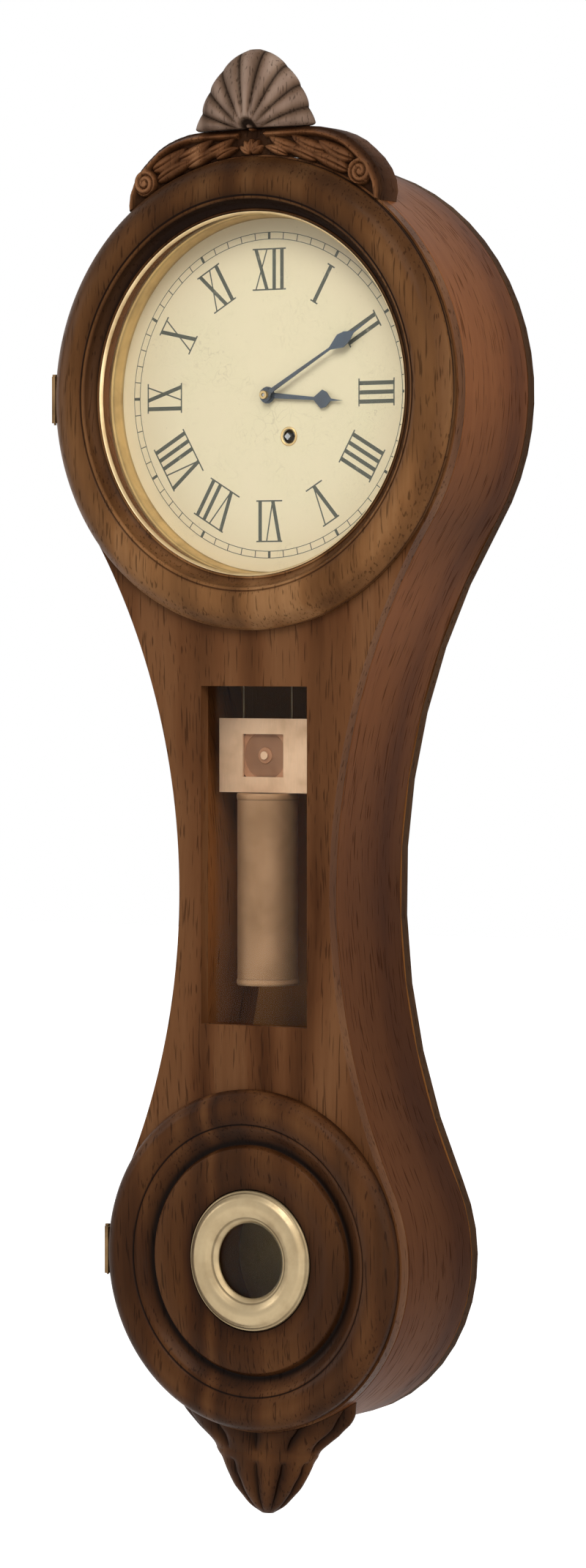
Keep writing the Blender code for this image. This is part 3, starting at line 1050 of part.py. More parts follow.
def make_winding(great):
    """The winding arbor with its drum and ratchet, and the click that rides on the great wheel."""
    axis = make_axis("drum_axis", DRUM_X, PLATE_FRONT, DRUM_Z)
    square_front = DIAL_FACE - WINDING_REACH
    square_back = DIAL_BACK + DIAL_TO_MOVEMENT / 2
    ends = [(WINDING_ARBOR_RADIUS, square_back), (WINDING_ARBOR_RADIUS, TRAIN_BACK - GAP)]
    arbor = make_piece("winding_arbor", *turned(ends, SHAFT_ROUND, "Y", DRUM_X, DRUM_Z), "steel", axis)
    square = plate([circle(WINDING_SQUARE * math.sqrt(2), 4, DRUM_X, DRUM_Z)], square_front, square_back + GAP)
    boolean(arbor, make_piece("winding_square", *square, None, axis), "UNION")
    pivot = turned([(PIVOT_RADIUS, TRAIN_BACK - 2 * GAP), (PIVOT_RADIUS, PLATE_REAR - GAP)], SHAFT_ROUND, "Y",
                   DRUM_X, DRUM_Z)
    boolean(arbor, make_piece("winding_pivot", *pivot, None, axis), "UNION")

    body = LINE_DRUM_RADIUS - LINE_RADIUS - GAP
    flange = LINE_DRUM_RADIUS + LINE_RADIUS + DRUM_FLANGE
    bore = WINDING_ARBOR_RADIUS + GAP
    front, back = TRAIN_FRONT + 2 * GAP, TRAIN_FRONT + 2 * GAP + DRUM_LENGTH
    thick = DRUM_FLANGE_THICKNESS
    profile = [(bore, front), (flange, front), (flange, front + thick), (body, front + thick),
               (body, back - thick), (flange, back - thick), (flange, back), (bore, back)]
    make_piece("line_drum", *turned_ring(profile, SHAFT_ROUND, "Y", DRUM_X, DRUM_Z), "brass", axis)

    step = 2 * math.pi / RATCHET_TEETH
    teeth = []
    for i in range(RATCHET_TEETH):
        for share, radius in ((0.0, RATCHET_RADIUS - RATCHET_DEPTH), (0.06, RATCHET_RADIUS)):
            angle = (i + share) * step
            teeth.append((DRUM_X + radius * math.cos(angle), DRUM_Z + radius * math.sin(angle)))
    low = TRAIN_FRONT + RATCHET_LAYER
    boolean(arbor, make_piece("ratchet", *plate([teeth], low, low + WHEEL_THICKNESS), None, axis), "UNION")

    wheel_front = TRAIN_FRONT + GREAT_WHEEL_LAYER
    click_back = wheel_front - GAP
    click_front = click_back - CLICK_THICKNESS
    pivot_angle, tip_angle = math.radians(CLICK_PIVOT_ANGLE), math.radians(CLICK_TIP_ANGLE)
    px = DRUM_X + CLICK_PIVOT_RADIUS * math.cos(pivot_angle)
    pz = DRUM_Z + CLICK_PIVOT_RADIUS * math.sin(pivot_angle)
    tip_radius = RATCHET_RADIUS + CLICK_TIP_CLEARANCE + CLICK_TIP_HALF_WIDTH
    tx, tz = DRUM_X + tip_radius * math.cos(tip_angle), DRUM_Z + tip_radius * math.sin(tip_angle)
    along = math.atan2(tz - pz, tx - px)
    outline = arc(CLICK_HALF_WIDTH, along + math.pi / 2, along + 1.5 * math.pi, 6, px, pz)
    outline += arc(CLICK_TIP_HALF_WIDTH, along - math.pi / 2, along + math.pi / 2, 3, tx, tz)
    click_axis = make_axis("click_axis", px, click_back, pz, great)
    make_piece("click", *plate([outline], click_front, click_back), "steel", click_axis)
    inner = CLICK_PIVOT_RADIUS + CLICK_HALF_WIDTH + CLICK_SPRING_STAND_OFF
    outer = inner + CLICK_SPRING_WIDTH
    foot = outer + CLICK_SPRING_FOOT
    start, end = pivot_angle + math.radians(48), pivot_angle - math.radians(4)
    foot_start = start - math.radians(8)
    strip = arc(inner, start, end, 6, DRUM_X, DRUM_Z) + arc(outer, end, foot_start, 5, DRUM_X, DRUM_Z)
    strip += arc(foot, foot_start, start, 1, DRUM_X, DRUM_Z)
    make_piece("click_spring", *plate([strip], click_front, click_back), "steel", great)


def make_weight():
    """The weight, the pulley that it hangs from, the yoke round the pulley and the gut line."""
    axis = make_axis("weight_axis", WEIGHT_OFFSET, WEIGHT_Y, PULLEY_Z)
    x, y = WEIGHT_OFFSET, WEIGHT_Y
    lip, top, bottom = WEIGHT_RADIUS, WEIGHT_TOP, WEIGHT_TOP - WEIGHT_LENGTH
    body = lip - WEIGHT_LIP
    profile = [(lip - WEIGHT_LIP, bottom), (lip, bottom + WEIGHT_LIP), (lip, bottom + WEIGHT_LIP_HEIGHT),
               (body, bottom + WEIGHT_LIP_HEIGHT + WEIGHT_LIP), (body, top - WEIGHT_LIP_HEIGHT - WEIGHT_LIP),
               (lip, top - WEIGHT_LIP_HEIGHT), (lip, top - WEIGHT_LIP), (lip - WEIGHT_LIP, top)]
    make_piece("weight", *turned(profile, SMALL_ROUND, "Z", x, y), "brass", axis)

    half = PULLEY_THICKNESS / 2
    front, back = y - half - YOKE_CLEARANCE, y + half + YOKE_CLEARANCE
    wide, high = YOKE_HALF_WIDTH, YOKE_HALF_HEIGHT
    outer = rectangle(x - wide, x + wide, PULLEY_Z - high, PULLEY_Z + high)
    open_wide, open_high = wide - YOKE_SIDE, high - YOKE_BAR
    opening = rectangle(x - open_wide, x + open_wide, PULLEY_Z - open_high, PULLEY_Z + open_high)
    yoke = make_piece("weight_yoke", *plate([outer, opening], front - YOKE_PLATE, front), "brass", axis)
    strap_top = PULLEY_Z + YOKE_STRAP
    strap = rectangle(x - YOKE_STRAP, x + YOKE_STRAP, PULLEY_Z - high, strap_top)
    boolean(yoke, make_piece("yoke_rear_strap", *plate([strap], back, back + YOKE_PLATE), None, axis), "UNION")
    side = YOKE_BLOCK_HALF_WIDTH
    block = box(x - side, x + side, front - YOKE_PLATE / 2, back + YOKE_PLATE / 2,
                PULLEY_Z - high, PULLEY_Z - high + YOKE_BLOCK_HEIGHT)
    boolean(yoke, make_piece("yoke_block", *block, None, axis), "UNION")

    pulley_axis = make_axis("pulley_axis", x, y, PULLEY_Z, axis)
    rim = PULLEY_LINE_RADIUS + PULLEY_FLANGE
    floor = PULLEY_LINE_RADIUS - LINE_RADIUS - GAP
    bore = PULLEY_PIN_RADIUS + RUNNING_GAP
    groove = PULLEY_GROOVE / 2
    profile = [(bore, y - half), (rim, y - half), (rim, y - groove), (floor, y - LINE_RADIUS - GAP),
               (floor, y + LINE_RADIUS + GAP), (rim, y + groove), (rim, y + half), (bore, y + half)]
    make_piece("pulley", *turned_ring(profile, MIDDLE_ROUND, "Y", x, PULLEY_Z), "bronze", pulley_axis)
    head_back = y - half - GAP
    pin = [(PULLEY_PIN_HEAD, head_back - PULLEY_PIN_HEAD_LENGTH), (PULLEY_PIN_HEAD, head_back),
           (PULLEY_PIN_RADIUS, head_back), (PULLEY_PIN_RADIUS, back + YOKE_PLATE / 2)]
    boolean(yoke, make_piece("pulley_pin", *turned(pin, SHAFT_ROUND, "Y", x, PULLEY_Z), None, axis), "UNION")

    line = bpy.data.curves.new("weight_line", "CURVE")
    line.dimensions = "3D"
    line.bevel_depth = LINE_RADIUS
    line.bevel_resolution = 1
    line.use_fill_caps = True
    bend = arc(PULLEY_LINE_RADIUS, 0, -math.pi, SHAFT_ROUND, x, PULLEY_Z)
    route = [(LINE_RIGHT, DRUM_Z)] + bend + [(LINE_LEFT, LINE_STUD_Z - LINE_STUD_RADIUS - GAP)]
    spline = line.splines.new("POLY")
    spline.points.add(len(route) - 1)
    for spot, (px, pz) in zip(spline.points, route):
        spot.co = (px, y, pz, 1)
    piece = bpy.data.objects.new("weight_line", line)
    line.materials.append(make_material("gut"))
    bpy.context.collection.objects.link(piece)


def main():
    for thing in list(bpy.data.objects):
        bpy.data.objects.remove(thing, do_unlink=True)
    back_board = make_case()
    make_throat()
    make_crest()
    make_drop()
    make_hanger(back_board)
    make_upper_door()
    make_lower_door()
    make_dial()
    make_plates()
    great, centre = make_train()
    make_motion_work(centre)
    make_winding(great)
    make_anchor()
    make_pendulum()
    make_weight()


main()
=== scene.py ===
# %% [markdown]
# # A figure-eight wall clock
#
# The clock hangs on a wall: a round head with the dial, a narrow waist with a glazed window in front of the
# driving weight, and a round foot with a small window in front of the pendulum's bob. The case is walnut,
# French polished and a century and a half old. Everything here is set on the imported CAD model, in metres,
# with X to the right of someone who faces the dial, Y into the wall and Z up.

import math

import bmesh
import bpy
import numpy as np
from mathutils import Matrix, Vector
from mathutils.geometry import tessellate_polygon


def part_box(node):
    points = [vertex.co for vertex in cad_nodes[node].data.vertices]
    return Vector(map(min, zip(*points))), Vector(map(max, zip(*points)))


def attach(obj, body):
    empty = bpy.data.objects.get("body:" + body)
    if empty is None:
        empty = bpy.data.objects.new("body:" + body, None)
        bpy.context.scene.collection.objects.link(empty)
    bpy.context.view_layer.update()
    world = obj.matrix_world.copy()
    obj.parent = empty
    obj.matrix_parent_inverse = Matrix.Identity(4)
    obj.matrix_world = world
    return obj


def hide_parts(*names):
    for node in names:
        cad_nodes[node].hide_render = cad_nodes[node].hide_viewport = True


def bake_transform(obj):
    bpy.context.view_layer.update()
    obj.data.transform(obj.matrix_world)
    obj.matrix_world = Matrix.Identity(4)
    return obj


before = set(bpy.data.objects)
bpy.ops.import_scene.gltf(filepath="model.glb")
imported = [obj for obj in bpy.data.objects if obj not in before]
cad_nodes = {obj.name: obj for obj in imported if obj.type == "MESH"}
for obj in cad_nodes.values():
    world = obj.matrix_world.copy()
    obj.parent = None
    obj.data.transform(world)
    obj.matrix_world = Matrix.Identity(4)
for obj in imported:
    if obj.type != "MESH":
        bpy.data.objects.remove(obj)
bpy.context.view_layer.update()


def middle(node):
    """The middle of a CAD node's box."""
    low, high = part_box(node)
    return (low + high) / 2


def half_size(node):
    low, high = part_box(node)
    return (high - low) / 2


def dress(material, *nodes):
    """Give CAD nodes that stay in sight a material."""
    for node in nodes:
        cad_nodes[node].data.materials.clear()
        cad_nodes[node].data.materials.append(material)


front_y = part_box("front_panel")[0].y
dial_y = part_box("dial")[0].y
foot_z = middle("lower_bezel").z
print("CAD nodes", len(cad_nodes), "front plane", round(front_y, 4), "dial face", round(dial_y, 4))

# %% [markdown]
# ## The camera
#
# The photograph was taken from the right of the clock, level with its waist, with a long lens. The place and
# the turn of the camera were fitted to the outline in the photograph, so they are written as they came out.

# %% Camera
scene = bpy.context.scene
PHOTO_HEIGHT = 2142
FOCAL_PIXELS = 6965
SENSOR = 36.0
YAW, PITCH = math.radians(32.485), math.radians(-1.597)
CAMERA_PLACE = (2.1095, -3.3702, -0.1882)

camera_data = bpy.data.cameras.new("camera")
camera_data.sensor_fit = "VERTICAL"
camera_data.sensor_height = SENSOR
camera_data.lens = SENSOR * FOCAL_PIXELS / PHOTO_HEIGHT
camera = bpy.data.objects.new("camera", camera_data)
camera.location = CAMERA_PLACE
look = Vector((-math.sin(YAW) * math.cos(PITCH), math.cos(YAW) * math.cos(PITCH), math.sin(PITCH)))
camera.rotation_euler = look.to_track_quat("-Z", "Y").to_euler()
scene.collection.objects.link(camera)
scene.camera = camera
scene.view_settings.view_transform = "Standard"
print("lens", round(camera_data.lens, 1), "mm, looking along", [round(v, 3) for v in look])

# %% [markdown]
# ## Light and floor
#
# The photograph is a cut-out on near white, and a pale floor under the clock and a white sky do the same.
# Both are white only where the camera sees them, directly, in metal or through glass, and give much less
# light. Four large round lamps give the rest: a key at the right that lights the bent side more than the
# front, a fill at the left that keeps the dark mouldings readable, a strong one so high in front that the
# glass doesn't mirror it to a camera at the clock's height, and a low one.


# %% Lamps, sky and floor
def plug(made, inputs):
    """Give inputs of a shader node a value or another node's socket each."""
    for key, value in inputs.items():
        if isinstance(value, bpy.types.NodeSocket):
            made.id_data.links.new(value, made.inputs[key])
        else:
            made.inputs[key].default_value = value


def wire(tree, kind, inputs=None, **settings):
    """A shader node with its settings and inputs."""
    made = tree.nodes.new("ShaderNode" + kind)
    for key, value in settings.items():
        setattr(made, key, value)
    plug(made, inputs or {})
    return made


def maths(tree, operation, a, b=0.0):
    return wire(tree, "Math", {0: a, 1: b}, operation=operation).outputs[0]


def new_material(name):
    material = bpy.data.materials.new(name)
    material.use_nodes = True
    tree = material.node_tree
    return material, tree, tree.nodes["Principled BSDF"]


def white_when_seen(tree):
    """One for a ray from the camera, mirrored by metal or passed on by glass, zero for the light it gives."""
    rays = wire(tree, "LightPath").outputs
    seen = maths(tree, "MAXIMUM", rays["Is Camera Ray"], rays["Is Glossy Ray"])
    seen = maths(tree, "MAXIMUM", seen, rays["Is Transmission Ray"])
    return maths(tree, "MULTIPLY", seen, maths(tree, "LESS_THAN", rays["Diffuse Depth"], 0.5))


def lamp(name, place, size, watts, colour):
    data = bpy.data.lights.new(name, "AREA")
    data.shape, data.size, data.energy, data.color = "DISK", size, watts, colour
    made = bpy.data.objects.new(name, data)
    made.location = place
    made.rotation_euler = (LAMPS_AIM - Vector(place)).to_track_quat("-Z", "Y").to_euler()
    scene.collection.objects.link(made)


LAMPS_AIM = Vector((0, 0, -0.3))
lamp("key", (1.35, -0.80, 0.15), 1.4, 9, (1.0, 0.96, 0.90))
lamp("fill", (-3.0, -1.6, 0.3), 1.2, 9, (1.0, 0.99, 0.97))
lamp("front", (0.6, -2.4, 1.9), 1.8, 33, (1.0, 0.98, 0.95))
lamp("low", (1.5, -2.9, -0.9), 1.2, 5, (1.0, 0.97, 0.93))

SKY_LIGHT = 0.20
sky = bpy.data.worlds.new("sky")
scene.world = sky
sky.use_nodes = True
sky_tree = sky.node_tree
sky_tree.nodes.clear()
white = wire(sky_tree, "Background", {"Color": (1, 1, 1, 1)}).outputs[0]
lights = wire(sky_tree, "Background", {"Color": (1.0, 0.98, 0.95, 1), "Strength": SKY_LIGHT}).outputs[0]
both = wire(sky_tree, "MixShader", {0: white_when_seen(sky_tree), 1: lights, 2: white}).outputs[0]
wire(sky_tree, "OutputWorld", {"Surface": both})

FLOOR_Z, FLOOR_HALF = -1.02, 9
floor_mesh = bpy.data.meshes.new("floor")
corners = [(x * FLOOR_HALF, y * FLOOR_HALF, FLOOR_Z) for x, y in ((-1, -1), (1, -1), (1, 1), (-1, 1))]
floor_mesh.from_pydata(corners, [], [(0, 1, 2, 3)])
floor = bpy.data.objects.new("floor", floor_mesh)
scene.collection.objects.link(floor)
pale, pale_tree, pale_shader = new_material("pale_floor")
plug(pale_shader, {"Base Color": (0.72, 0.72, 0.72, 1), "Roughness": 0.9, "Emission Color": (1, 1, 1, 1),
                   "Emission Strength": white_when_seen(pale_tree)})
floor_mesh.materials.append(pale)
print("floor at", FLOOR_Z)

# %% [markdown]
# ## Walnut
#
# Growth rings cut lengthwise give wide wavy bands, the fibres give fine streaks, and the open pores show as
# short dark dashes that stay a little below the polish. All three are noise that is stretched along the
# grain. The polish is old and dull, so its coat and its gloss are weak, and a slow patchiness stands for sun
# and hands. A mesh can carry a value named age_and_shade, above zero where hands have rubbed the wood pale
# and where a painted light brightens it, and below zero where dirt has stayed and where a painted shade
# darkens it. The back board is bare wood on the side that faces into the case, with a painted shadow behind
# the top of the window.

# %% Walnut
GRAIN_STRETCH, GRAIN_SWAY, RING_TURNS, RUBBED_AND_LIT_PALER = 0.055, 0.035, 46.0, (2.3, 2.6, 3.0)


def vectors(tree, operation, inputs):
    return wire(tree, "VectorMath", inputs, operation=operation).outputs[0]


def noise(tree, vector, scale, detail=2.0, roughness=0.5):
    inputs = {"Vector": vector, "Scale": scale, "Detail": detail, "Roughness": roughness}
    return wire(tree, "TexNoise", inputs).outputs["Fac"]


def weighted(tree, *parts):
    """The sum of parts of (value, weight)."""
    summed = 0.0
    for value, weight in parts:
        summed = maths(tree, "ADD", maths(tree, "MULTIPLY", value, weight), summed)
    return summed


def ramp(tree, value, *stops):
    """A colour ramp of (place, colour) stops."""
    made = wire(tree, "ValToRGB", {"Fac": value})
    elements = made.color_ramp.elements
    while len(elements) < len(stops):
        elements.new(0.5)
    for element, (place, colour) in zip(elements, stops):
        element.position, element.color = place, (*colour, 1)
    return made.outputs["Color"]


def mix(tree, share, one, two, kind="MIX"):
    inputs = {"Fac": share}
    for key, value in (("Color1", one), ("Color2", two)):
        inputs[key] = value if isinstance(value, bpy.types.NodeSocket) else (*value, 1)
    return wire(tree, "MixRGB", inputs, blend_type=kind).outputs["Color"]


def tinted(colour, share):
    """A colour made darker, or lighter up to white."""
    return tuple(min(1.0, share * part) for part in colour)


def spread(tree, value, low, high, to_low=0.0, to_high=1.0):
    """A value's range stretched to another, and cut off at its ends."""
    inputs = {"Value": value, "From Min": low, "From Max": high, "To Min": to_low, "To Max": to_high}
    return wire(tree, "MapRange", inputs).outputs[0]


def bumps(tree, height, strength, distance):
    return wire(tree, "Bump", {"Height": height, "Strength": strength, "Distance": distance}).outputs[0]


def aged_and_shaded(tree, colour, worn, dirt_and_shade, strength=1.0):
    """The colour, paler where age_and_shade is above zero and darker where it is below, and that value."""
    # The value holds wear and dirt, and also the painted shade and painted light laid on the sides and the
    # upper door.
    age_and_shade = wire(tree, "Attribute", attribute_name="age_and_shade").outputs["Fac"]
    rubbed_and_lit = maths(tree, "MULTIPLY", spread(tree, age_and_shade, 0, 1), strength)
    darkened = maths(tree, "MULTIPLY", spread(tree, age_and_shade, 0, -1), strength)
    return mix(tree, darkened, mix(tree, rubbed_and_lit, colour, worn), dirt_and_shade), age_and_shade


def walnut(name, dark, plain, light, ring_scale=7.0, roughness=0.36, coat=0.025, strip=False):
    """Walnut whose grain stands upright, or runs along the U of a bent strip."""
    material, tree, shader = new_material(name + "_walnut")
    source = wire(tree, "TexCoord").outputs["UV" if strip else "Object"]
    stretch = (GRAIN_STRETCH, 1, 1) if strip else (1, 1, GRAIN_STRETCH)
    sway = wire(tree, "TexNoise", {"Vector": source, "Scale": 3.2}).outputs["Color"]
    sway = vectors(tree, "SUBTRACT", {0: sway, 1: (0.5, 0.5, 0.5)})
    moved = vectors(tree, "SCALE", {0: sway, "Scale": GRAIN_SWAY})
    bent = vectors(tree, "ADD", {0: source, 1: moved})
    along = wire(tree, "Mapping", {"Vector": bent, "Scale": stretch}).outputs[0]

    hills = noise(tree, along, ring_scale, 1.5, 0.45)
    rings = spread(tree, maths(tree, "SINE", maths(tree, "MULTIPLY", hills, RING_TURNS)), -1, 1)
    streaks = noise(tree, along, 90.0, 2.0, 0.55)
    fibres = noise(tree, along, 330.0, 3.0, 0.6)
    pores = spread(tree, noise(tree, along, 620.0, 1.0), 0.60, 0.68)
    patches = noise(tree, source, 7.0, 3.0)
    figure = weighted(tree, (rings, 0.42), (streaks, 0.38), (fibres, 0.20))
    wood = ramp(tree, figure, (0.20, dark), (0.52, plain), (0.82, light))
    wood = mix(tree, spread(tree, patches, 0.3, 0.7, 0.0, 0.35), wood, tinted(light, 1.25))
    wood = mix(tree, maths(tree, "MULTIPLY", pores, 0.55), wood, tinted(dark, 0.30))
    rubbed_and_lit = mix(tree, 1.0, wood, RUBBED_AND_LIT_PALER, "MULTIPLY")
    wood, age_and_shade = aged_and_shaded(tree, wood, rubbed_and_lit, tinted(dark, 0.22))

    dullness = weighted(tree, (roughness, 1), (spread(tree, patches, 0.25, 0.75, -0.05, 0.07), 1),
                        (pores, 0.25), (spread(tree, age_and_shade, 0, -1), 0.25))
    relief = weighted(tree, (fibres, 0.35), (pores, -1))
    plug(shader, {"Base Color": wood, "Roughness": dullness, "Normal": bumps(tree, relief, 0.30, 0.0003),
                  "Coat Weight": coat, "Coat Roughness": 0.16, "Specular IOR Level": 0.05})
    return material


front_walnut = walnut("front", (0.066, 0.020, 0.005), (0.158, 0.059, 0.021), (0.245, 0.110, 0.046))
# The sides' walnut is lighter and redder than the front's: partly a painted light on the side that faces the
# key lamp.
side_lit_walnut = walnut("side", (0.100, 0.026, 0.006), (0.205, 0.064, 0.018), (0.30, 0.108, 0.036), 5.0, 0.38,
                     strip=True)
door_walnut = walnut("door", (0.048, 0.016, 0.004), (0.112, 0.043, 0.013), (0.19, 0.086, 0.032), 6.0, 0.38,
                     0.0375)
dark_walnut = walnut("dark", (0.021, 0.007, 0.0025), (0.057, 0.019, 0.006), (0.105, 0.040, 0.013), 8.0, 0.40,
                     0.0375)
carved_walnut = walnut("carved", (0.054, 0.018, 0.006), (0.128, 0.047, 0.017), (0.215, 0.095, 0.040), 9.0,
                       0.46, 0.02)
faded_walnut = walnut("faded", (0.090, 0.050, 0.030), (0.200, 0.122, 0.082), (0.31, 0.210, 0.150), 9.0, 0.50,
                      0.0125)
back_walnut = walnut("back", (0.030, 0.013, 0.006), (0.065, 0.030, 0.013), (0.11, 0.055, 0.026), 5.0, 0.62,
                     0.0125)

board_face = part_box("back_board")[0].y
SHADOW_LOW, SHADOW_HIGH = -0.30, -0.21
back_tree = back_walnut.node_tree
back_shader = back_tree.nodes["Principled BSDF"]
place = wire(back_tree, "SeparateXYZ", {0: wire(back_tree, "TexCoord").outputs["Object"]}).outputs
inside = spread(back_tree, place["Y"], board_face + 0.00004, board_face + 0.00015, 0.85, 0.0)
board = mix(back_tree, inside, back_shader.inputs["Base Color"].links[0].from_socket, (0.44, 0.175, 0.050))
# A painted shadow darkens the inside of the board behind the top of the window, under the movement.
painted_shadow = maths(back_tree, "MULTIPLY", spread(back_tree, place["Z"], SHADOW_LOW, SHADOW_HIGH, 0.0, 0.9), inside)
plug(back_shader, {"Base Color": mix(back_tree, painted_shadow, board, (0.030, 0.008, 0.002))})
print("walnut finishes", [m.name for m in bpy.data.materials if "walnut" in m.name])

# %% [markdown]
# ## Brass, steel, glass and paint
#
# The brass was lacquered once and has dulled: brown in the hollows, clearer on the rubbed crests, with the
# fine rings that the lathe left on everything round. Steel is grey with a little brown, and the hands are
# steel heated until it turned blue. The glass is old, so it ripples, and it bends light less than real glass
# does, so that the white studio's image in it doesn't hide the dial. The dial is oil paint on iron: cream,
# yellower to the rim, with a net of fine cracks.


# %% Metals
def from_axis(tree, source, centre):
    """How far each point is from the line through centre that runs square into the wall."""
    moved = vectors(tree, "SUBTRACT", {0: source, 1: tuple(centre)})
    flat = vectors(tree, "MULTIPLY", {0: moved, 1: (1, 0, 1)})
    return wire(tree, "VectorMath", {0: flat}, operation="LENGTH").outputs["Value"]


def metal(name, colour, tarnish, roughness, centre=None, lines=0.5, bare=1.0):
    """Tarnished metal, scratched in rings round a centre or else upright. Old lacquer makes bare under 1."""
    material, tree, shader = new_material(name)
    source = wire(tree, "TexCoord").outputs["Object"]
    patches = noise(tree, source, 38.0, 4.0, 0.6)
    fine = noise(tree, source, 900.0)
    if centre is None:
        drawn = wire(tree, "Mapping", {"Vector": source, "Scale": (1.0, 1.0, 0.05)}).outputs[0]
        scratches = noise(tree, drawn, 1400.0)
    else:
        turned = maths(tree, "MULTIPLY", from_axis(tree, source, centre), 2600.0)
        scratches = noise(tree, wire(tree, "CombineXYZ", {0: turned}).outputs[0], 1.0)
    base = mix(tree, spread(tree, patches, 0.42, 0.72, 0.0, 0.75), colour, tarnish)
    base = mix(tree, spread(tree, scratches, 0.35, 0.75, 0.0, 0.25), base, tinted(colour, 0.6))
    base, _ = aged_and_shaded(tree, base, tinted(colour, 1.2), tinted(tarnish, 0.25), 0.8)
    dullness = weighted(tree, (roughness, 1), (spread(tree, patches, 0.35, 0.75), 0.22),
                        (spread(tree, fine, 0.3, 0.8), 0.08))
    height = weighted(tree, (scratches, lines), (fine, 0.12))
    plug(shader, {"Base Color": base, "Roughness": dullness, "Normal": bumps(tree, height, 0.25, 0.0001),
                  "Metallic": bare})
    return material


DIAL_AXIS = (0, 0, 0)
plain_brass = metal("plain_brass", (0.66, 0.47, 0.23), (0.34, 0.20, 0.09), 0.30)
sight_brass = metal("sight_brass", (0.74, 0.56, 0.32), (0.42, 0.27, 0.13), 0.26, DIAL_AXIS)
ring_brass = metal("ring_brass", (0.41, 0.315, 0.185), (0.22, 0.15, 0.075), 0.26, middle("lower_bezel"))
rim_gilt = metal("rim_gilt", (0.72, 0.53, 0.27), (0.40, 0.26, 0.12), 0.36, DIAL_AXIS)
weight_brass = metal("weight_brass", (0.37, 0.20, 0.10), (0.26, 0.135, 0.06), 0.46, None, 0.9, 0.30)
yoke_brass = metal("yoke_brass", (0.84, 0.555, 0.365), (0.60, 0.37, 0.22), 0.50, None, 0.5, 0.45)
dark_brass = metal("dark_brass", (0.26, 0.16, 0.075), (0.11, 0.065, 0.03), 0.46)
bob_brass = metal("bob_brass", (0.84, 0.58, 0.24), (0.52, 0.31, 0.11), 0.34, middle("pendulum_bob"), 0.7,
                  0.65)
pulley_bronze = metal("pulley_bronze", (0.50, 0.24, 0.13), (0.30, 0.14, 0.07), 0.50, middle("pulley"), 0.5,
                      0.3)
grey_steel = metal("grey_steel", (0.46, 0.46, 0.47), (0.24, 0.19, 0.15), 0.34)
blued_steel = metal("blued_steel", (0.100, 0.118, 0.150), (0.095, 0.085, 0.080), 0.38, None, 0.3, 0.8)
print("materials with the metals", len(bpy.data.materials))


# %% Glass, dial paint, numeral paint and gut
def old_glass(name):
    """Clear glass with ripples and dust. Light passes through it unbent, so that what is behind it is lit."""
    material, tree, shader = new_material(name)
    source = wire(tree, "TexCoord").outputs["Object"]
    dust = noise(tree, source, 160.0, 5.0, 0.7)
    plug(shader, {"Base Color": (0.97, 0.985, 0.97, 1), "Transmission Weight": 1.0, "IOR": 1.14,
                  "Roughness": spread(tree, dust, 0.45, 0.8, 0.01, 0.09),
                  "Normal": bumps(tree, noise(tree, source, 22.0, 1.0), 0.10, 0.0006)})
    passing = wire(tree, "BsdfTransparent", {"Color": (0.95, 0.97, 0.95, 1)}).outputs[0]
    to_a_lamp = wire(tree, "LightPath").outputs["Is Shadow Ray"]
    mixed = wire(tree, "MixShader", {0: to_a_lamp, 1: shader.outputs[0], 2: passing}).outputs[0]
    plug(tree.nodes["Material Output"], {"Surface": mixed})
    return material


def dial_paint(name):
    """Cream oil paint with clouds, a darker edge, fine cracks and specks."""
    material, tree, shader = new_material(name)
    source = wire(tree, "TexCoord").outputs["Object"]
    parts = wire(tree, "SeparateXYZ", {0: source}).outputs
    flat = wire(tree, "CombineXYZ", {0: parts["X"], 1: parts["Z"]}).outputs[0]
    clouds = noise(tree, flat, 16.0, 4.0, 0.6)
    base = mix(tree, spread(tree, clouds, 0.3, 0.75, 0.0, 0.55), (0.90, 0.77, 0.555), (0.83, 0.745, 0.505))
    to_rim = spread(tree, from_axis(tree, source, DIAL_AXIS), 0.085, 0.137, 0.0, 0.45)
    base = mix(tree, to_rim, base, (0.80, 0.63, 0.42))
    wander = wire(tree, "TexNoise", {"Vector": flat, "Scale": 60.0}).outputs["Color"]
    wandered = vectors(tree, "MULTIPLY_ADD", {0: flat, 1: wander, 2: (0.02, 0.01, 0.0)})
    cells = wire(tree, "TexVoronoi", {"Vector": wandered, "Scale": 210.0}, feature="DISTANCE_TO_EDGE")
    cracked = spread(tree, cells.outputs["Distance"], 0.0, 0.035, 1.0, 0.0)
    soiled = maths(tree, "MULTIPLY", cracked, spread(tree, clouds, 0.45, 0.7, 0.05, 0.40))
    base = mix(tree, soiled, base, (0.42, 0.32, 0.20))
    specks = spread(tree, noise(tree, flat, 420.0), 0.70, 0.76)
    base = mix(tree, maths(tree, "MULTIPLY", specks, 0.35), base, (0.36, 0.26, 0.15))
    height = weighted(tree, (clouds, 1), (cracked, -1))
    plug(shader, {"Base Color": base, "Roughness": spread(tree, clouds, 0.3, 0.7, 0.38, 0.52),
                  "Normal": bumps(tree, height, 0.12, 0.0002)})
    return material


def thin_paint(name, colour, under):
    """A dry dark paint, rubbed through to what is under it in places."""
    material, tree, shader = new_material(name)
    source = wire(tree, "TexCoord").outputs["Object"]
    worn = spread(tree, noise(tree, source, 120.0, 4.0, 0.7), 0.60, 0.72, 0.0, 0.55)
    plug(shader, {"Base Color": mix(tree, worn, colour, under),
                  "Roughness": spread(tree, noise(tree, source, 700.0), 0.3, 0.7, 0.40, 0.60),
                  "Normal": bumps(tree, worn, 0.2, 0.0001)})
    return material


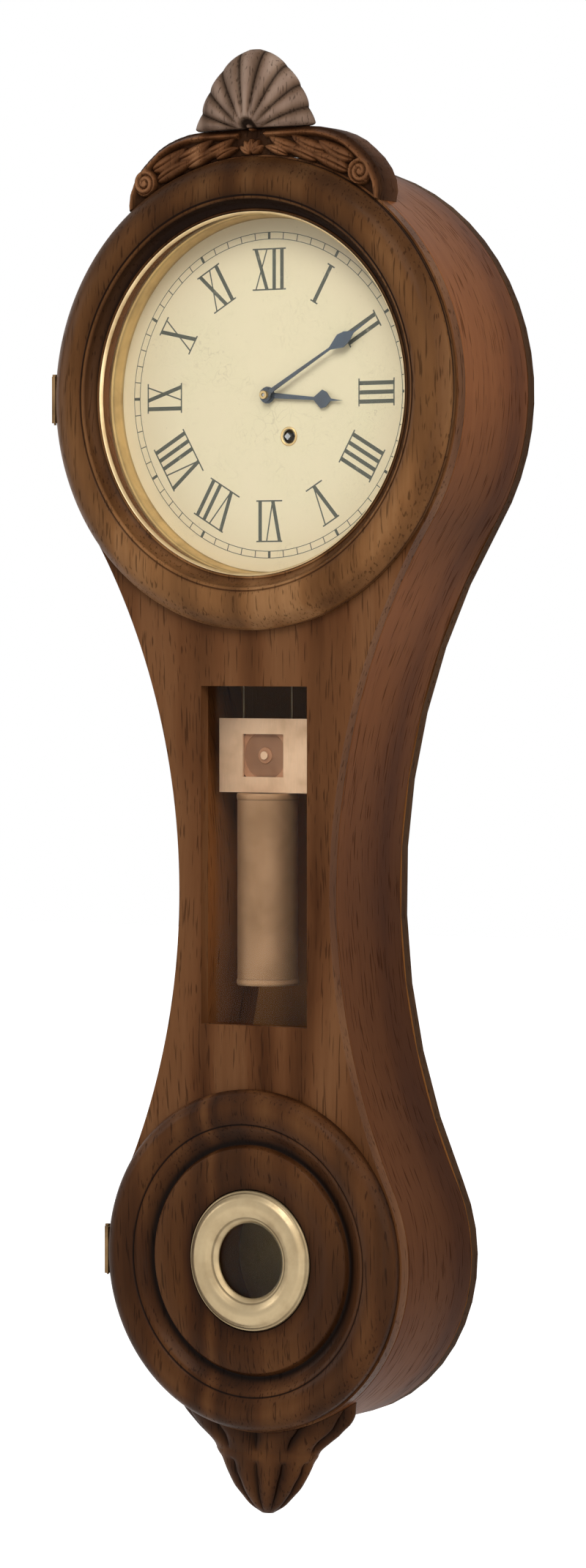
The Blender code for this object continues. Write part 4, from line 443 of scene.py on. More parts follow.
def twisted_gut(name):
    """Pale brown gut with a slanting lay."""
    material, tree, shader = new_material(name)
    source = wire(tree, "TexCoord").outputs["UV"]
    turned = wire(tree, "Mapping", {"Vector": source, "Rotation": (0, 0, 0.9)}).outputs[0]
    lay = wire(tree, "TexWave", {"Vector": turned, "Scale": 260.0, "Distortion": 0.6}).outputs["Fac"]
    plug(shader, {"Base Color": mix(tree, lay, (0.20, 0.12, 0.055), (0.42, 0.29, 0.15)),
                  "Roughness": spread(tree, lay, 0, 1, 0.45, 0.65),
                  "Normal": bumps(tree, lay, 0.6, 0.0002)})
    return material


door_glass = old_glass("door_glass")
dial_cream = dial_paint("dial_paint")
numeral_black = thin_paint("numeral_black", (0.095, 0.095, 0.075), (0.50, 0.44, 0.33))
gut_cord = twisted_gut("gut")
print("materials", len(bpy.data.materials))

# %% [markdown]
# ## Ways of making
#
# Nearly everything on this clock was bent, turned or carved. A turned piece is a profile swept round an
# axis, a flat one is an outline with holes, and the helpers below make both with many more steps than the
# CAD solids have, on the same measures.


# %% Helpers for meshes
def add(name, verts, faces, material, body=None, stands_for=(), sharp=35, uvs=None, ages_and_shades=None):
    """A mesh piece that may ride on a body and stand for CAD nodes."""
    mesh = bpy.data.meshes.new(name)
    mesh.from_pydata([tuple(map(float, v)) for v in verts], [], faces)
    if ages_and_shades is not None:
        values = mesh.attributes.new("age_and_shade", "FLOAT", "POINT").data
        values.foreach_set("value", np.asarray(ages_and_shades, dtype=np.float32))
    if uvs is not None:
        layer = mesh.uv_layers.new(name="UVMap")
        for loop in mesh.loops:
            layer.data[loop.index].uv = uvs[loop.vertex_index]
    shape = bmesh.new()
    shape.from_mesh(mesh)
    bmesh.ops.recalc_face_normals(shape, faces=shape.faces)
    shape.to_mesh(mesh)
    shape.free()
    mesh.shade_smooth()
    mesh.set_sharp_from_angle(angle=math.radians(sharp))
    mesh.materials.append(material)
    piece = bpy.data.objects.new(name, mesh)
    scene.collection.objects.link(piece)
    if body:
        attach(piece, body)
    if stands_for:
        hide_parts(*stands_for)
    return piece


def bevel(piece, width, segments=3, angle=40):
    """A small rounded edge, as sandpaper or a file leaves it."""
    modifier = piece.modifiers.new("bevel", "BEVEL")
    modifier.width, modifier.segments = width, segments
    modifier.limit_method, modifier.angle_limit = "ANGLE", math.radians(angle)


def through(points, each=6):
    """A smooth curve through the points, with each steps between two of them."""
    points = [np.array(p, dtype=float) for p in points]
    padded = [2 * points[0] - points[1]] + points + [2 * points[-1] - points[-2]]
    curve = []
    for a, b, c, d in zip(padded, padded[1:], padded[2:], padded[3:]):
        for i in range(each):
            t = i / each
            curve.append(0.5 * (2 * b + (c - a) * t + (2 * a - 5 * b + 4 * c - d) * t ** 2
                                + (3 * b - 3 * c + d - a) * t ** 3))
    return curve + [points[-1]]


def arc(radius, start, end, steps, u=0.0, v=0.0):
    """Points of an arc round (u, v), all but its last."""
    turns = [start + (end - start) * i / steps for i in range(steps)]
    return [(u + radius * math.cos(turn), v + radius * math.sin(turn)) for turn in turns]


def round_loop(radius, steps, v=0.0):
    return arc(radius, 0, 2 * math.pi, steps, 0, v)


def rectangle(u0, v0, u1, v1):
    return [(u0, v0), (u1, v0), (u1, v1), (u0, v1)]


def bands(rows, steps, ring=False):
    """Faces between rows of points, each a closed loop. The end rows meet in a ring, or are filled."""
    faces = []
    for k in range(rows if ring else rows - 1):
        low, high = k * steps, (k + 1) % rows * steps
        for i in range(steps):
            j = (i + 1) % steps
            faces.append((low + i, low + j, high + j, high + i))
    if not ring:
        faces += [tuple(reversed(range(steps))), tuple((rows - 1) * steps + i for i in range(steps))]
    return faces


def turned_piece(name, groups, steps, place, material, body, stands_for=(), axis="Y", dust=0.0):
    """A turned ring from groups of (radius, along, age_and_shade), each a smooth curve. Dust with a painted
    shade darkens its top, a painted light pales its bottom.
    """
    profile = []
    for group in groups:
        profile += through(group, 5) if len(group) > 2 else group
    verts, ages_and_shades = [], []
    for radius, along, age_and_shade in profile:
        for u, v in round_loop(radius, steps):
            verts.append((place[0] + u, along, place[2] + v) if axis == "Y" else
                         (place[0] + u, place[1] + v, along))
            # dust darkens the top with dust and a painted shade, and pales the bottom with a painted light.
            ages_and_shades.append(age_and_shade - dust * v / radius)
    return add(name, verts, bands(len(profile), steps, True), material, body, stands_for, 40, None, ages_and_shades)


def sheet(loops, y_low, y_high):
    """Verts and faces of a flat plate square to Y. The first loop is its edge and the rest are holes."""
    flat = [p for loop in loops for p in loop]
    verts = [(x, y_low, z) for x, z in flat] + [(x, y_high, z) for x, z in flat]
    size = len(flat)
    triangles = tessellate_polygon([[Vector((u, v, 0)) for u, v in loop] for loop in loops])
    faces = [tuple(t) for t in triangles] + [tuple(i + size for i in reversed(t)) for t in triangles]
    start = 0
    for loop in loops:
        for i in range(len(loop)):
            a, b = start + i, start + (i + 1) % len(loop)
            faces.append((a, b, b + size, a + size))
        start += len(loop)
    return verts, faces


print("a curve through three points has", len(through([(0, 0), (1, 1), (2, 0)])), "points")

# %% [markdown]
# ## The case
#
# The sides are two long strips of walnut, steamed and bent round a form, so their grain runs round the
# figure eight. The front is one board with openings for the dial, the weight and the bob, and its edge is
# eased by hand. The outline is two circles joined by two hollow arcs that touch them. The sides carry a
# painted shade where the photograph has them dark: below the waist, in the hollow under the head and along
# their rear edge, and a painted light on their inner face.

# %% Outline of the case
HEAD, FOOT, WAIST, DROP_TO_FOOT = 0.181, 0.132, 0.068, 0.660
RIM_WALL = 0.012
HEAD_STEPS, FOOT_STEPS, HOLLOW_STEPS = 150, 110, 50


def hollow_arc():
    """Radius and centre of the arc that touches both circles and passes the waist."""
    def reach(circle, radius):
        return math.sqrt((circle - WAIST) * (circle + WAIST + 2 * radius))

    low, high = 0.0, 2.0
    for _ in range(50):
        radius = (low + high) / 2
        if reach(HEAD, radius) + reach(FOOT, radius) < DROP_TO_FOOT:
            low = radius
        else:
            high = radius
    return radius, radius + WAIST, -reach(HEAD, radius)


def figure_eight(inset=0.0):
    """The head's arc, the left hollow, the foot's arc and the right hollow, or the same drawn inside."""
    radius, x, z = hollow_arc()
    top, bottom = math.atan2(-z, x), math.atan2(z + DROP_TO_FOOT, x)
    return (arc(HEAD - inset, -top, math.pi + top, HEAD_STEPS)
            + arc(radius + inset, top, -bottom, HOLLOW_STEPS, -x, z)
            + arc(FOOT - inset, math.pi - bottom, 2 * math.pi + bottom, FOOT_STEPS, 0, -DROP_TO_FOOT)
            + arc(radius + inset, math.pi + bottom, math.pi - top, HOLLOW_STEPS, x, z))


def from_the_top(loop):
    """The loop begun at its highest point, so that the seam of the grain lies under the crest."""
    first = max(range(len(loop)), key=lambda i: loop[i][1])
    return loop[first:] + loop[:first]


outline = from_the_top(figure_eight())
print("outline", len(outline), "points, width", round(2 * max(x for x, z in outline), 4))

# %% The bent sides
EASED, WALL_UV = 0.0009, 0.4
# INNER_LIGHT is a painted light that pales the inner faces of the sides, which sit in the case's shade.
REAR_SHADE, INNER_LIGHT = 0.26, 0.1
shade_heights = (-0.79, -0.66, -0.38, -0.22, -0.16, -0.10, 0.0)
shade_shares = (0.22, 0.50, 0.42, 0.20, 0.10, 0.50, 0.00)
side_low, side_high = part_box("case_rim")
inner = from_the_top(figure_eight(RIM_WALL))
lengths = [0.0]
for (x0, z0), (x1, z1) in zip(outline, outline[1:]):
    lengths.append(lengths[-1] + math.hypot(x1 - x0, z1 - z0))
section = [(0, side_low.y + EASED), (0, side_high.y - EASED), (EASED / RIM_WALL, side_high.y),
           (1, side_high.y), (1, side_low.y), (EASED / RIM_WALL, side_low.y)]
REAR_EDGE, INNER_FACE = (1, 2), (3, 4)
side_verts, side_uvs, side_ages_and_shades = [], [], []
for k, (share, y) in enumerate(section):
    for i, ((x0, z0), (x1, z1)) in enumerate(zip(outline, inner)):
        side_verts.append((x0 + (x1 - x0) * share, y, z0 + (z1 - z0) * share))
        side_uvs.append((lengths[i], y + share * WALL_UV))
        # A painted shade darkens the outer face by height, and more along the rear edge.
        painted_shade = np.interp(z0, shade_heights, shade_shares) + (REAR_SHADE if k in REAR_EDGE else 0.0)
        side_ages_and_shades.append(INNER_LIGHT if k in INNER_FACE else 0.08 * math.sin(7 * lengths[i]) - painted_shade)
add("bent_sides", side_verts, bands(len(section), len(outline), True), side_lit_walnut, "clock_case",
    ["case_rim"], 40, side_uvs, side_ages_and_shades)
print("bent sides", round(lengths[-1], 3), "m round")

# %% The front board and the back board
DIAL_OPENING, FOOT_OPENING = 0.1395, 0.070
WINDOW = (-0.048, -0.481, 0.048, -0.222)
slot_inset = Vector((0.003, 0, 0.003))
openings = [round_loop(DIAL_OPENING, 160), round_loop(FOOT_OPENING, 110, foot_z), rectangle(*WINDOW)]
for keeper in ("upper_catch_keeper", "lower_catch_keeper"):
    low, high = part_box(keeper)
    low, high = low + slot_inset, high - slot_inset
    openings.append(rectangle(low.x, low.z, high.x, high.z))
panel_low, panel_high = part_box("front_panel")
front_board = add("front_board", *sheet([outline] + openings, panel_low.y, panel_high.y), front_walnut,
                  "clock_case", ["front_panel"])
bevel(front_board, 0.0011)
dress(back_walnut, "back_board")
dress(front_walnut, "throat_bead")
for name in ("back_board", "throat_bead"):
    bevel(cad_nodes[name], 0.0007, 2)
print("front board faces", len(front_board.data.polygons))

# %% [markdown]
# ## The doors
#
# Both doors are turned rings of walnut. The upper one rises from its rim to a broad swell and falls to a thin
# lip over the glass; the lower one has a raised border, a dark groove and a dished middle that carries the
# brass sight ring. The CAD solids leave out the fine beads and quirks. The swell is rubbed where hands opened
# the door and the quirks are darker. The upper door's top is darkened by dust and a painted shade, and its
# bottom paled by a painted light.


# %% The upper door
MM = 0.001


def proud(*groups):
    """Groups of (radius, height in front of the case, age_and_shade), in millimetres, as (radius, Y,
    age_and_shade) in metres.
    """
    return [[(MM * r, front_y - MM * h, age_and_shade) for r, h, age_and_shade in group] for group in groups]


upper_groups = proud(
    [(179.5, 0.3, -0.5), (179.5, 3, -0.2)],
    [(179.5, 3.6, -0.6), (178.9, 4.1, -0.9), (179.1, 4.6, -0.6)],
    [(179.3, 5, 0.1), (178.5, 6.8, 0.3), (176.4, 9.2, 0.2), (173.5, 11.9, 0.2), (170.1, 14.2, 0.3),
     (166, 15.7, 0.5), (161.3, 16.5, 0.6), (157, 16.4, 0.5), (153.1, 16, 0.3), (150.6, 15.3, 0.1)],
    [(150.2, 14.9, -0.7), (149.7, 14.6, -1.0), (149.2, 14.8, -0.7)],
    [(148.9, 15, 0.3), (148, 14.7, 0.6), (147.2, 13.5, 0.1)],
    [(146.8, 12.8, -0.4), (145, 9.4, -0.3), (142.6, 6.8, -0.4), (140.9, 5.8, -0.7)],
    [(140.5, 5.5, -0.9), (140, 6, 0.1), (139.1, 6, 0.3), (138.5, 5.2, -0.2)],
    [(138.5, 3.3, -0.6), (141, 3.3, -0.6)],
    [(141, 0.3, -0.6)])
# dust=0.75: dust and a painted shade on the door's top, a painted light on its bottom.
turned_piece("dial_door", upper_groups, 200, DIAL_AXIS, door_walnut, "upper_door", ["upper_bezel"], dust=0.75)
sight_groups = proud(
    [(138.2, 3.3, -0.5), (138.2, 5.6, 0.0)],
    [(138, 6, 0.5), (137.6, 5.8, 0.4), (136.8, 4.6, 0.0), (136.2, 3.6, -0.3)],
    [(136.2, 3.3, -0.5)])
turned_piece("dial_sight_ring", sight_groups, 180, DIAL_AXIS, sight_brass, "upper_door", ["upper_sight_ring"])
dress(door_glass, "upper_glass", "lower_glass", "throat_glass")
print("upper door, widest radius", max(p[0] for g in upper_groups for p in g))

# %% The lower door
lower_groups = proud(
    [(130.5, 0.3, -0.5), (130.5, 4.2, -0.1)],
    [(130.3, 5, 0.1), (129.6, 6.8, 0.3), (126.4, 10.5, 0.3), (121.5, 13, 0.4), (117, 13.5, 0.5),
     (112, 13.2, 0.3), (108.1, 12.2, 0.2), (105, 10.8, 0.1)],
    [(104.6, 10.3, -0.6), (104.1, 9.8, -1.0), (103.6, 9.9, -0.5)],
    [(103.2, 10, 0.2), (101, 9, 0.3), (97.5, 6.4, 0.0), (94.5, 4.5, -0.3)],
    [(91.5, 3.6, -0.9), (89.7, 3.2, -1.0), (88.5, 3.4, -0.9)],
    [(88, 4, -0.2), (86.2, 7.2, 0.2), (84.3, 8.1, 0.4), (78, 8.9, 0.3), (72, 8.7, 0.2), (64.8, 7, 0.1),
     (60, 6.1, 0.0), (54.8, 5.4, -0.5)],
    [(54.5, 3.9, -0.8), (36.5, 3.9, -0.8)],
    [(36.5, 3.3, -0.8), (39, 3.3, -0.8)],
    [(39, 0.3, -0.8)])
foot_axis = (0, 0, foot_z)
turned_piece("foot_door", lower_groups, 160, foot_axis, dark_walnut, "lower_door", ["lower_bezel"])
ring_groups = proud(
    [(54.2, 4.2, -0.6), (53.9, 5.6, -0.3), (53.2, 6.7, 0.0)],
    [(52.8, 6.8, -0.4), (52, 7.2, -0.6), (51.2, 8, -0.2)],
    [(50.6, 8.4, 0.2), (47.6, 10.6, 0.4), (44.5, 11.1, 0.5), (41.4, 11.2, 0.6), (38.3, 10.6, 0.4),
     (35.7, 9.4, 0.3), (33.8, 8.4, 0.1)],
    [(33.4, 8.1, -0.5), (32.8, 7.7, -0.7), (32.1, 7.6, -0.4)],
    [(31.6, 7.7, 0.1), (30.3, 6.6, 0.3), (28.9, 5.2, 0.0)],
    [(28.5, 4.2, -0.4)])
turned_piece("foot_sight_ring", ring_groups, 140, foot_axis, ring_brass, "lower_door", ["lower_sight_ring"])
print("lower door at z", round(foot_z, 4))

# %% [markdown]
# ## The carved crest
#
# A carver sawed the crest to its outline, set in the ground with gouges and left the ornament standing: a
# scroll at each lower end, leaves that sweep up from the scrolls, a fan of petals in the middle and the lower
# half of a round hollow whose upper half is in the finial. Here the front is a fine grid between the curve
# that sits on the case and the sawn outline. Each ornament gives a height between 0, the ground, and 1, the
# old surface, and the highest wins.

# %% The crest's outline and grid
crest_low, crest_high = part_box("crest")
CREST_HALF, CREST_TALL = 0.114, 0.041
SEAT = HEAD + 0.0003
crest_top = crest_high.z
edge_shares = ((0.0, 1.0), (0.10, 1.00), (0.42, 0.995), (0.52, 0.968), (0.60, 0.915), (0.68, 0.837),
               (0.76, 0.72), (0.83, 0.561), (0.90, 0.383), (0.955, 0.178), (0.99, -0.041), (1.00, -0.244),
               (0.987, -0.388))
edge = np.array([(CREST_HALF * u, crest_top - CREST_TALL * (1 - v)) for u, v in edge_shares])
edge_run = np.concatenate([[0], np.cumsum(np.hypot(*np.diff(edge, axis=0).T))])
COLUMNS, ROWS = 300, 72
side = np.linspace(-1, 1, COLUMNS + 1)
run = np.abs(side) * edge_run[-1]
edge_x = np.interp(run, edge_run, edge[:, 0]) * np.sign(side)
edge_z = np.interp(run, edge_run, edge[:, 1])
seat_turn = math.asin(edge[-1, 0] / SEAT) * side
seat_x, seat_z = SEAT * np.sin(seat_turn), SEAT * np.cos(seat_turn)
rise = np.linspace(0, 1, ROWS + 1)[:, None]
grid_x, grid_z = seat_x + (edge_x - seat_x) * rise, seat_z + (edge_z - seat_z) * rise
to_edge = (1 - rise) * np.hypot(edge_x - seat_x, edge_z - seat_z)
print("crest", round(2 * CREST_HALF * 1000), "mm wide, grid", grid_x.shape)


# %% The crest's ornament
def leaf(x, z, foot, tip, width, vein=0.35, curl=0.0):
    """Height of one leaf from its foot to its tip, full in the middle, with a groove along its vein."""
    foot, tip = np.array(foot), np.array(tip)
    length = np.hypot(*(tip - foot))
    along_x, along_z = (tip - foot) / length
    a = ((x - foot[0]) * along_x + (z - foot[1]) * along_z) / length
    b = ((z - foot[1]) * along_x - (x - foot[0]) * along_z) / width - curl * a * (1 - a) * 4
    body = np.clip(np.sin(np.pi * np.clip(a, 0, 1) ** 0.75), 0, 1) ** 0.6
    reach = np.clip(1 - (b / np.maximum(body, 1e-3)) ** 2, 0, 1) ** 0.5 * (a > 0) * (a < 1)
    groove = vein * np.exp(-(b / 0.13) ** 2) * np.clip(1.2 - a, 0, 1)
    return np.clip(reach * (0.55 + 0.45 * body) - groove * (reach > 0), 0, 1)


def scroll(x, z, centre, radius, pitch, start):
    """Height of a rolled scroll: a ridge that winds in to a small eye."""
    dx, dz = x - centre[0], z - centre[1]
    distance, angle = np.hypot(dx, dz), np.arctan2(dz, dx)
    phase = distance / pitch - (angle - start) / (2 * np.pi)
    ridge = 0.42 + 0.58 * np.abs(np.cos(np.pi * phase)) ** 0.7
    eye = np.clip(1.15 - (distance / (0.62 * pitch)) ** 2, 0, 1) ** 0.5
    return np.maximum(ridge * np.clip((radius - distance) / 0.0015, 0, 1), eye)


SCROLL_EYE, SCROLL_R, SCROLL_PITCH = (0.0970, 0.1640), 0.0108, 0.0044
BEAD_INSET, BEAD_SOFT, BEAD_FROM = 0.0050, 0.0024, 0.012
FAN_FOOT, FAN_TOP, PETAL_LONG, PETAL_WIDE = (0.0005, 0.1817), 0.1820, 0.0115, 0.0034
HOLLOW_R, BOSS_R = 0.0080, 0.0026
x, z = np.abs(grid_x), grid_z
height = 0.10 + 0.05 * np.sin(900 * grid_x) * np.sin(700 * grid_z)
height = np.maximum(height, scroll(x, z, SCROLL_EYE, SCROLL_R, SCROLL_PITCH, 2.2))
bead = 0.88 * np.exp(-((to_edge - BEAD_INSET) / BEAD_SOFT) ** 2) * (x > BEAD_FROM)
height = np.maximum(height, bead)
leaves = (((0.090, 0.1735), (0.060, 0.1890), 0.0062, 0.25), ((0.086, 0.1650), (0.052, 0.1795), 0.0058, -0.2),
          ((0.066, 0.1805), (0.036, 0.1940), 0.0058, 0.3), ((0.058, 0.1745), (0.028, 0.1855), 0.0052, -0.25),
          ((0.044, 0.1825), (0.016, 0.1940), 0.0052, 0.3), ((0.032, 0.1795), (0.012, 0.1870), 0.0042, -0.2))
for foot, tip, width, curl in leaves:
    height = np.maximum(height, leaf(x, z, foot, tip, width, curl=curl))
for degrees in (0, 30, 60):
    turn = math.radians(degrees)
    tip = (FAN_FOOT[0] + PETAL_LONG * math.sin(turn), FAN_TOP + PETAL_LONG * math.cos(turn))
    height = np.maximum(height, leaf(x, z, FAN_FOOT, tip, PETAL_WIDE, 0.30))
hollow = np.hypot(grid_x, grid_z - crest_top)
height = np.where(hollow < HOLLOW_R, np.clip(1.0 - 0.9 * (hollow / BOSS_R) ** 4, 0.0, 1), height)
height = np.clip(height, 0, 1)
print("carved share of the crest", round(float((height > 0.3).mean()), 2))

# %% The crest
CARVING_DEPTH, EDGE_ROUND, END_EASED = 0.0062, 0.0024, 0.002
near_edge = np.clip((EDGE_ROUND - to_edge) / EDGE_ROUND, 0, 1)
rolled = EDGE_ROUND * (1 - np.sqrt(np.clip(1 - near_edge ** 2, 0, 1)))
near_end = np.clip((np.abs(side)[None, :] - 0.985) / 0.015, 0, 1)
depth = crest_low.y + CARVING_DEPTH * (1 - height) + rolled + END_EASED * near_end ** 2
wide = COLUMNS + 1
crest_verts = list(np.stack([grid_x, depth, grid_z], axis=-1).reshape(-1, 3))
crest_ages = list((np.clip(2.2 * (height - 0.62), -1, 0.9) * 0.8).reshape(-1))
crest_faces = [(r * wide + c, r * wide + c + 1, (r + 1) * wide + c + 1, (r + 1) * wide + c)
               for r in range(ROWS) for c in range(COLUMNS)]
back_start = len(crest_verts)
for r in (0, ROWS):
    crest_verts += [(grid_x[r, c], crest_high.y, grid_z[r, c]) for c in range(wide)]
    crest_ages += [-0.2] * wide
top_front, top_back = ROWS * wide, back_start + wide
for c in range(COLUMNS):
    for one, other in ((0, back_start), (top_front, top_back), (back_start, top_back)):
        crest_faces.append((one + c, one + c + 1, other + c + 1, other + c))
for c in (0, COLUMNS):
    crest_faces.append(tuple(r * wide + c for r in range(ROWS + 1)) + (top_back + c, back_start + c))
add("carved_crest", crest_verts, crest_faces, carved_walnut, "clock_case", ["crest"], 55, None, crest_ages)
print("crest faces", len(crest_faces))

# %% [markdown]
# ## The finial and the drop
#
# The finial is a shell whose ribs fan out from a small hollow at its foot. The drop under the foot is a
# hanging leaf that narrows to a collar and ends in a bud. Each is a row of ovals, and the carving pulls the
# surface in between the ribs.


# %% The finial
def ovals(name, rows, material, node):
    """A piece from rows of points, each row a closed loop with an age_and_shade value at every point."""
    points = [point for row in rows for point in row]
    return add(name, [point[:3] for point in points], bands(len(rows), len(rows[0])), material, "clock_case",
               [node], 50, None, [point[3] for point in points])


finial_low, finial_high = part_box("crest_knob")
FINIAL_HALF, FINIAL_THICK, RIBS = 0.0545, 0.0165, 9
FAN_BELOW, RIBS_FROM, PIT_BOSS_R = 0.004, 0.014, 0.003
finial_mid, finial_tall = middle("crest_knob").y, finial_high.z - finial_low.z
finial_shares = [(0.0, 0.95, 0.62), (0.025, 0.985, 0.74), (0.07, 0.965, 0.89), (0.18, 0.91, 1.0),
                 (0.30, 0.86, 1.0), (0.42, 0.80, 0.97), (0.54, 0.73, 0.92), (0.66, 0.63, 0.84),
                 (0.78, 0.51, 0.72), (0.88, 0.38, 0.58), (0.95, 0.25, 0.40), (1.0, 0.09, 0.16)]
turn = np.linspace(0, 2 * math.pi, 216, endpoint=False)
finial_rows = []
for along, wide_share, thick_share in through(finial_shares, 7):
    up = finial_tall * along
    x = FINIAL_HALF * wide_share * np.cos(turn)
    away = np.hypot(x, up)
    ribs = 1 - np.abs(np.cos(RIBS * np.arctan2(x, up + FAN_BELOW))) ** 0.55
    groove = ribs * np.clip(away / RIBS_FROM - 0.4, 0, 1)
    pit = np.clip(1 - (away / HOLLOW_R) ** 4, 0, 1) - np.clip(1 - (away / PIT_BOSS_R) ** 2, 0, 1)
    pit = np.clip(pit, 0, 1)
    bulge = FINIAL_THICK * thick_share * np.sin(turn) * (1 - 0.26 * groove - 0.30 * pit)
    age_and_shade = np.clip(0.45 - 1.7 * groove - 2.0 * pit, -1, 0.45)
    level = np.full(len(turn), finial_low.z + up)
    finial_rows.append(list(zip(x * (1 - 0.035 * groove), finial_mid + bulge, level, age_and_shade)))
ovals("carved_finial", finial_rows, faded_walnut, "crest_knob")
print("finial", round(finial_tall * 1000), "mm tall")

# %% The drop
drop_low, drop_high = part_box("foot_drop")
DROP_HALF, DROP_THICK, DROP_GAP, LOBES = 0.080, 0.019, 0.0003, 10
drop_mid, drop_from = middle("foot_drop").y, -DROP_TO_FOOT - math.sqrt(FOOT ** 2 - DROP_HALF ** 2)
drop_shares = [(0.0, 1.0, 0.95, 0.2), (0.104, 0.987, 1.0, 0.6), (0.20, 0.925, 1.0, 0.9),
               (0.274, 0.84, 1.0, 1.0), (0.35, 0.725, 1.0, 1.0), (0.425, 0.62, 0.97, 0.6),
               (0.47, 0.57, 0.93, 0.0), (0.498, 0.555, 0.95, 0.0), (0.53, 0.53, 0.96, 0.1),
               (0.57, 0.506, 0.96, 0.7), (0.646, 0.469, 0.93, 1.0), (0.72, 0.412, 0.88, 1.0),
               (0.79, 0.356, 0.80, 1.0), (0.865, 0.275, 0.66, 1.0), (0.94, 0.18, 0.46, 0.7),
               (1.0, 0.062, 0.18, 0.0)]
turn = np.linspace(0, 2 * math.pi, 160, endpoint=False)
drop_rows = []
for along, wide_share, thick_share, lobing in through(drop_shares, 7):
    groove = 1 - np.abs(np.cos(LOBES * turn / 2)) ** 0.55
    leafy = 0.35 * np.sin(2 * math.pi * 5 * along) * np.cos(LOBES * turn)
    pulled = 1 - 0.15 * lobing * np.clip(groove + 0.25 * leafy, 0, 1.2)
    x = DROP_HALF * wide_share * np.cos(turn) * pulled
    under_foot = -DROP_TO_FOOT - np.sqrt((FOOT + DROP_GAP) ** 2 - x ** 2)
    z = np.minimum(drop_from + (drop_low.z - drop_from) * along, under_foot)
    age_and_shade = np.clip(0.4 - 1.8 * groove * lobing, -0.9, 0.4)
    drop_rows.append(list(zip(x, drop_mid + DROP_THICK * thick_share * np.sin(turn) * pulled, z, age_and_shade)))
ovals("carved_drop", drop_rows, dark_walnut, "foot_drop")
print("drop", round((drop_high.z - drop_low.z) * 1000), "mm tall")

# %% [markdown]
# ## The dial
#
# The dial is sheet iron painted cream, with upright strokes for the hours in black. A sign painter drew the
# numerals to stand on the centre, thick strokes and thin ones with short feet, inside a double ring with a
# tick for each minute. The strokes are laid on the paint a twentieth of a millimetre proud.

# %% Numerals and minute ring
NUMERALS = ("XII", "I", "II", "III", "IIII", "V", "VI", "VII", "VIII", "IX", "X", "XI")
LETTER_WIDTHS = {"I": 0.0070, "V": 0.0165, "X": 0.0160}
NUMERAL_LOW, NUMERAL_HIGH = 0.0800, 0.1120
THICK, THIN, SERIF, SLANT, V_SHIFT, X_INSET = 0.0031, 0.0011, 0.0011, 0.0060, 0.0004, 0.0008
TICK_LOW, TICK_HIGH, HOUR_TICK_HALF, TICK_HALF = 0.1192, 0.1240, 0.0011, 0.00035
RING_RADII, RING_LINE_HALF, RING_STEP = (0.1190, 0.1242), 0.00025, 2
PAINT_PROUD, PAINT_SUNK, LAYER = 0.00005, 0.00004, 0.000004


def stroke(x0, x1, width):
    """A slanting stroke from the foot at x0 to the head at x1."""
    return [(x0 - width / 2, NUMERAL_LOW), (x0 + width / 2, NUMERAL_LOW), (x1 + width / 2, NUMERAL_HIGH),
            (x1 - width / 2, NUMERAL_HIGH)]


def numeral(text):
    """The strokes of one numeral, centred on x = 0 and standing on the centre of the dial."""
    x = -sum(LETTER_WIDTHS[letter] for letter in text) / 2
    shapes = []
    for letter in text:
        width = LETTER_WIDTHS[letter]
        mid, across = x + width / 2, SLANT - X_INSET
        if letter == "I":
            shapes.append(stroke(mid, mid, THICK))
        elif letter == "V":
            shapes += [stroke(mid + V_SHIFT, mid - SLANT, THICK), stroke(mid + V_SHIFT, mid + SLANT, THIN)]
        else:
            shapes += [stroke(mid + across, mid - across, THICK), stroke(mid - across, mid + across, THIN)]
        shapes += [rectangle(x, r, x + width, r + SERIF) for r in (NUMERAL_LOW, NUMERAL_HIGH - SERIF)]
        x += width
    return shapes


def turned_to(points, degrees):
    turn = math.radians(degrees)
    return [(a * math.cos(turn) + r * math.sin(turn), r * math.cos(turn) - a * math.sin(turn))
            for a, r in points]


def laid(shapes, y):
    """Thin painted shapes as one mesh, each a closed slab."""
    verts, faces = [], []
    for k, shape in enumerate(shapes):
        low = y - LAYER * (k % 5)
        start, count = len(verts), len(shape)
        verts += [(x, low, z) for x, z in shape] + [(x, y + PAINT_SUNK, z) for x, z in shape]
        faces += [tuple(start + i for i in face) for face in bands(2, count)]
    return verts, faces


painted = []
for hour, text in enumerate(NUMERALS):
    painted += [turned_to(shape, 30 * hour) for shape in numeral(text)]
for minute in range(60):
    tick_half = HOUR_TICK_HALF if minute % 5 == 0 else TICK_HALF
    painted.append(turned_to(rectangle(-tick_half, TICK_LOW, tick_half, TICK_HIGH), 6 * minute))
for radius in RING_RADII:
    near, far = radius - RING_LINE_HALF, radius + RING_LINE_HALF
    line = [(0, near)] + turned_to([(0, near), (0, far)], RING_STEP) + [(0, far)]
    painted += [turned_to(line, turn) for turn in range(0, 360, RING_STEP)]
add("dial_painting", *laid(painted, dial_y - PAINT_PROUD), numeral_black, "clock_case")
dress(dial_cream, "dial")
print("painted strokes", len(painted))

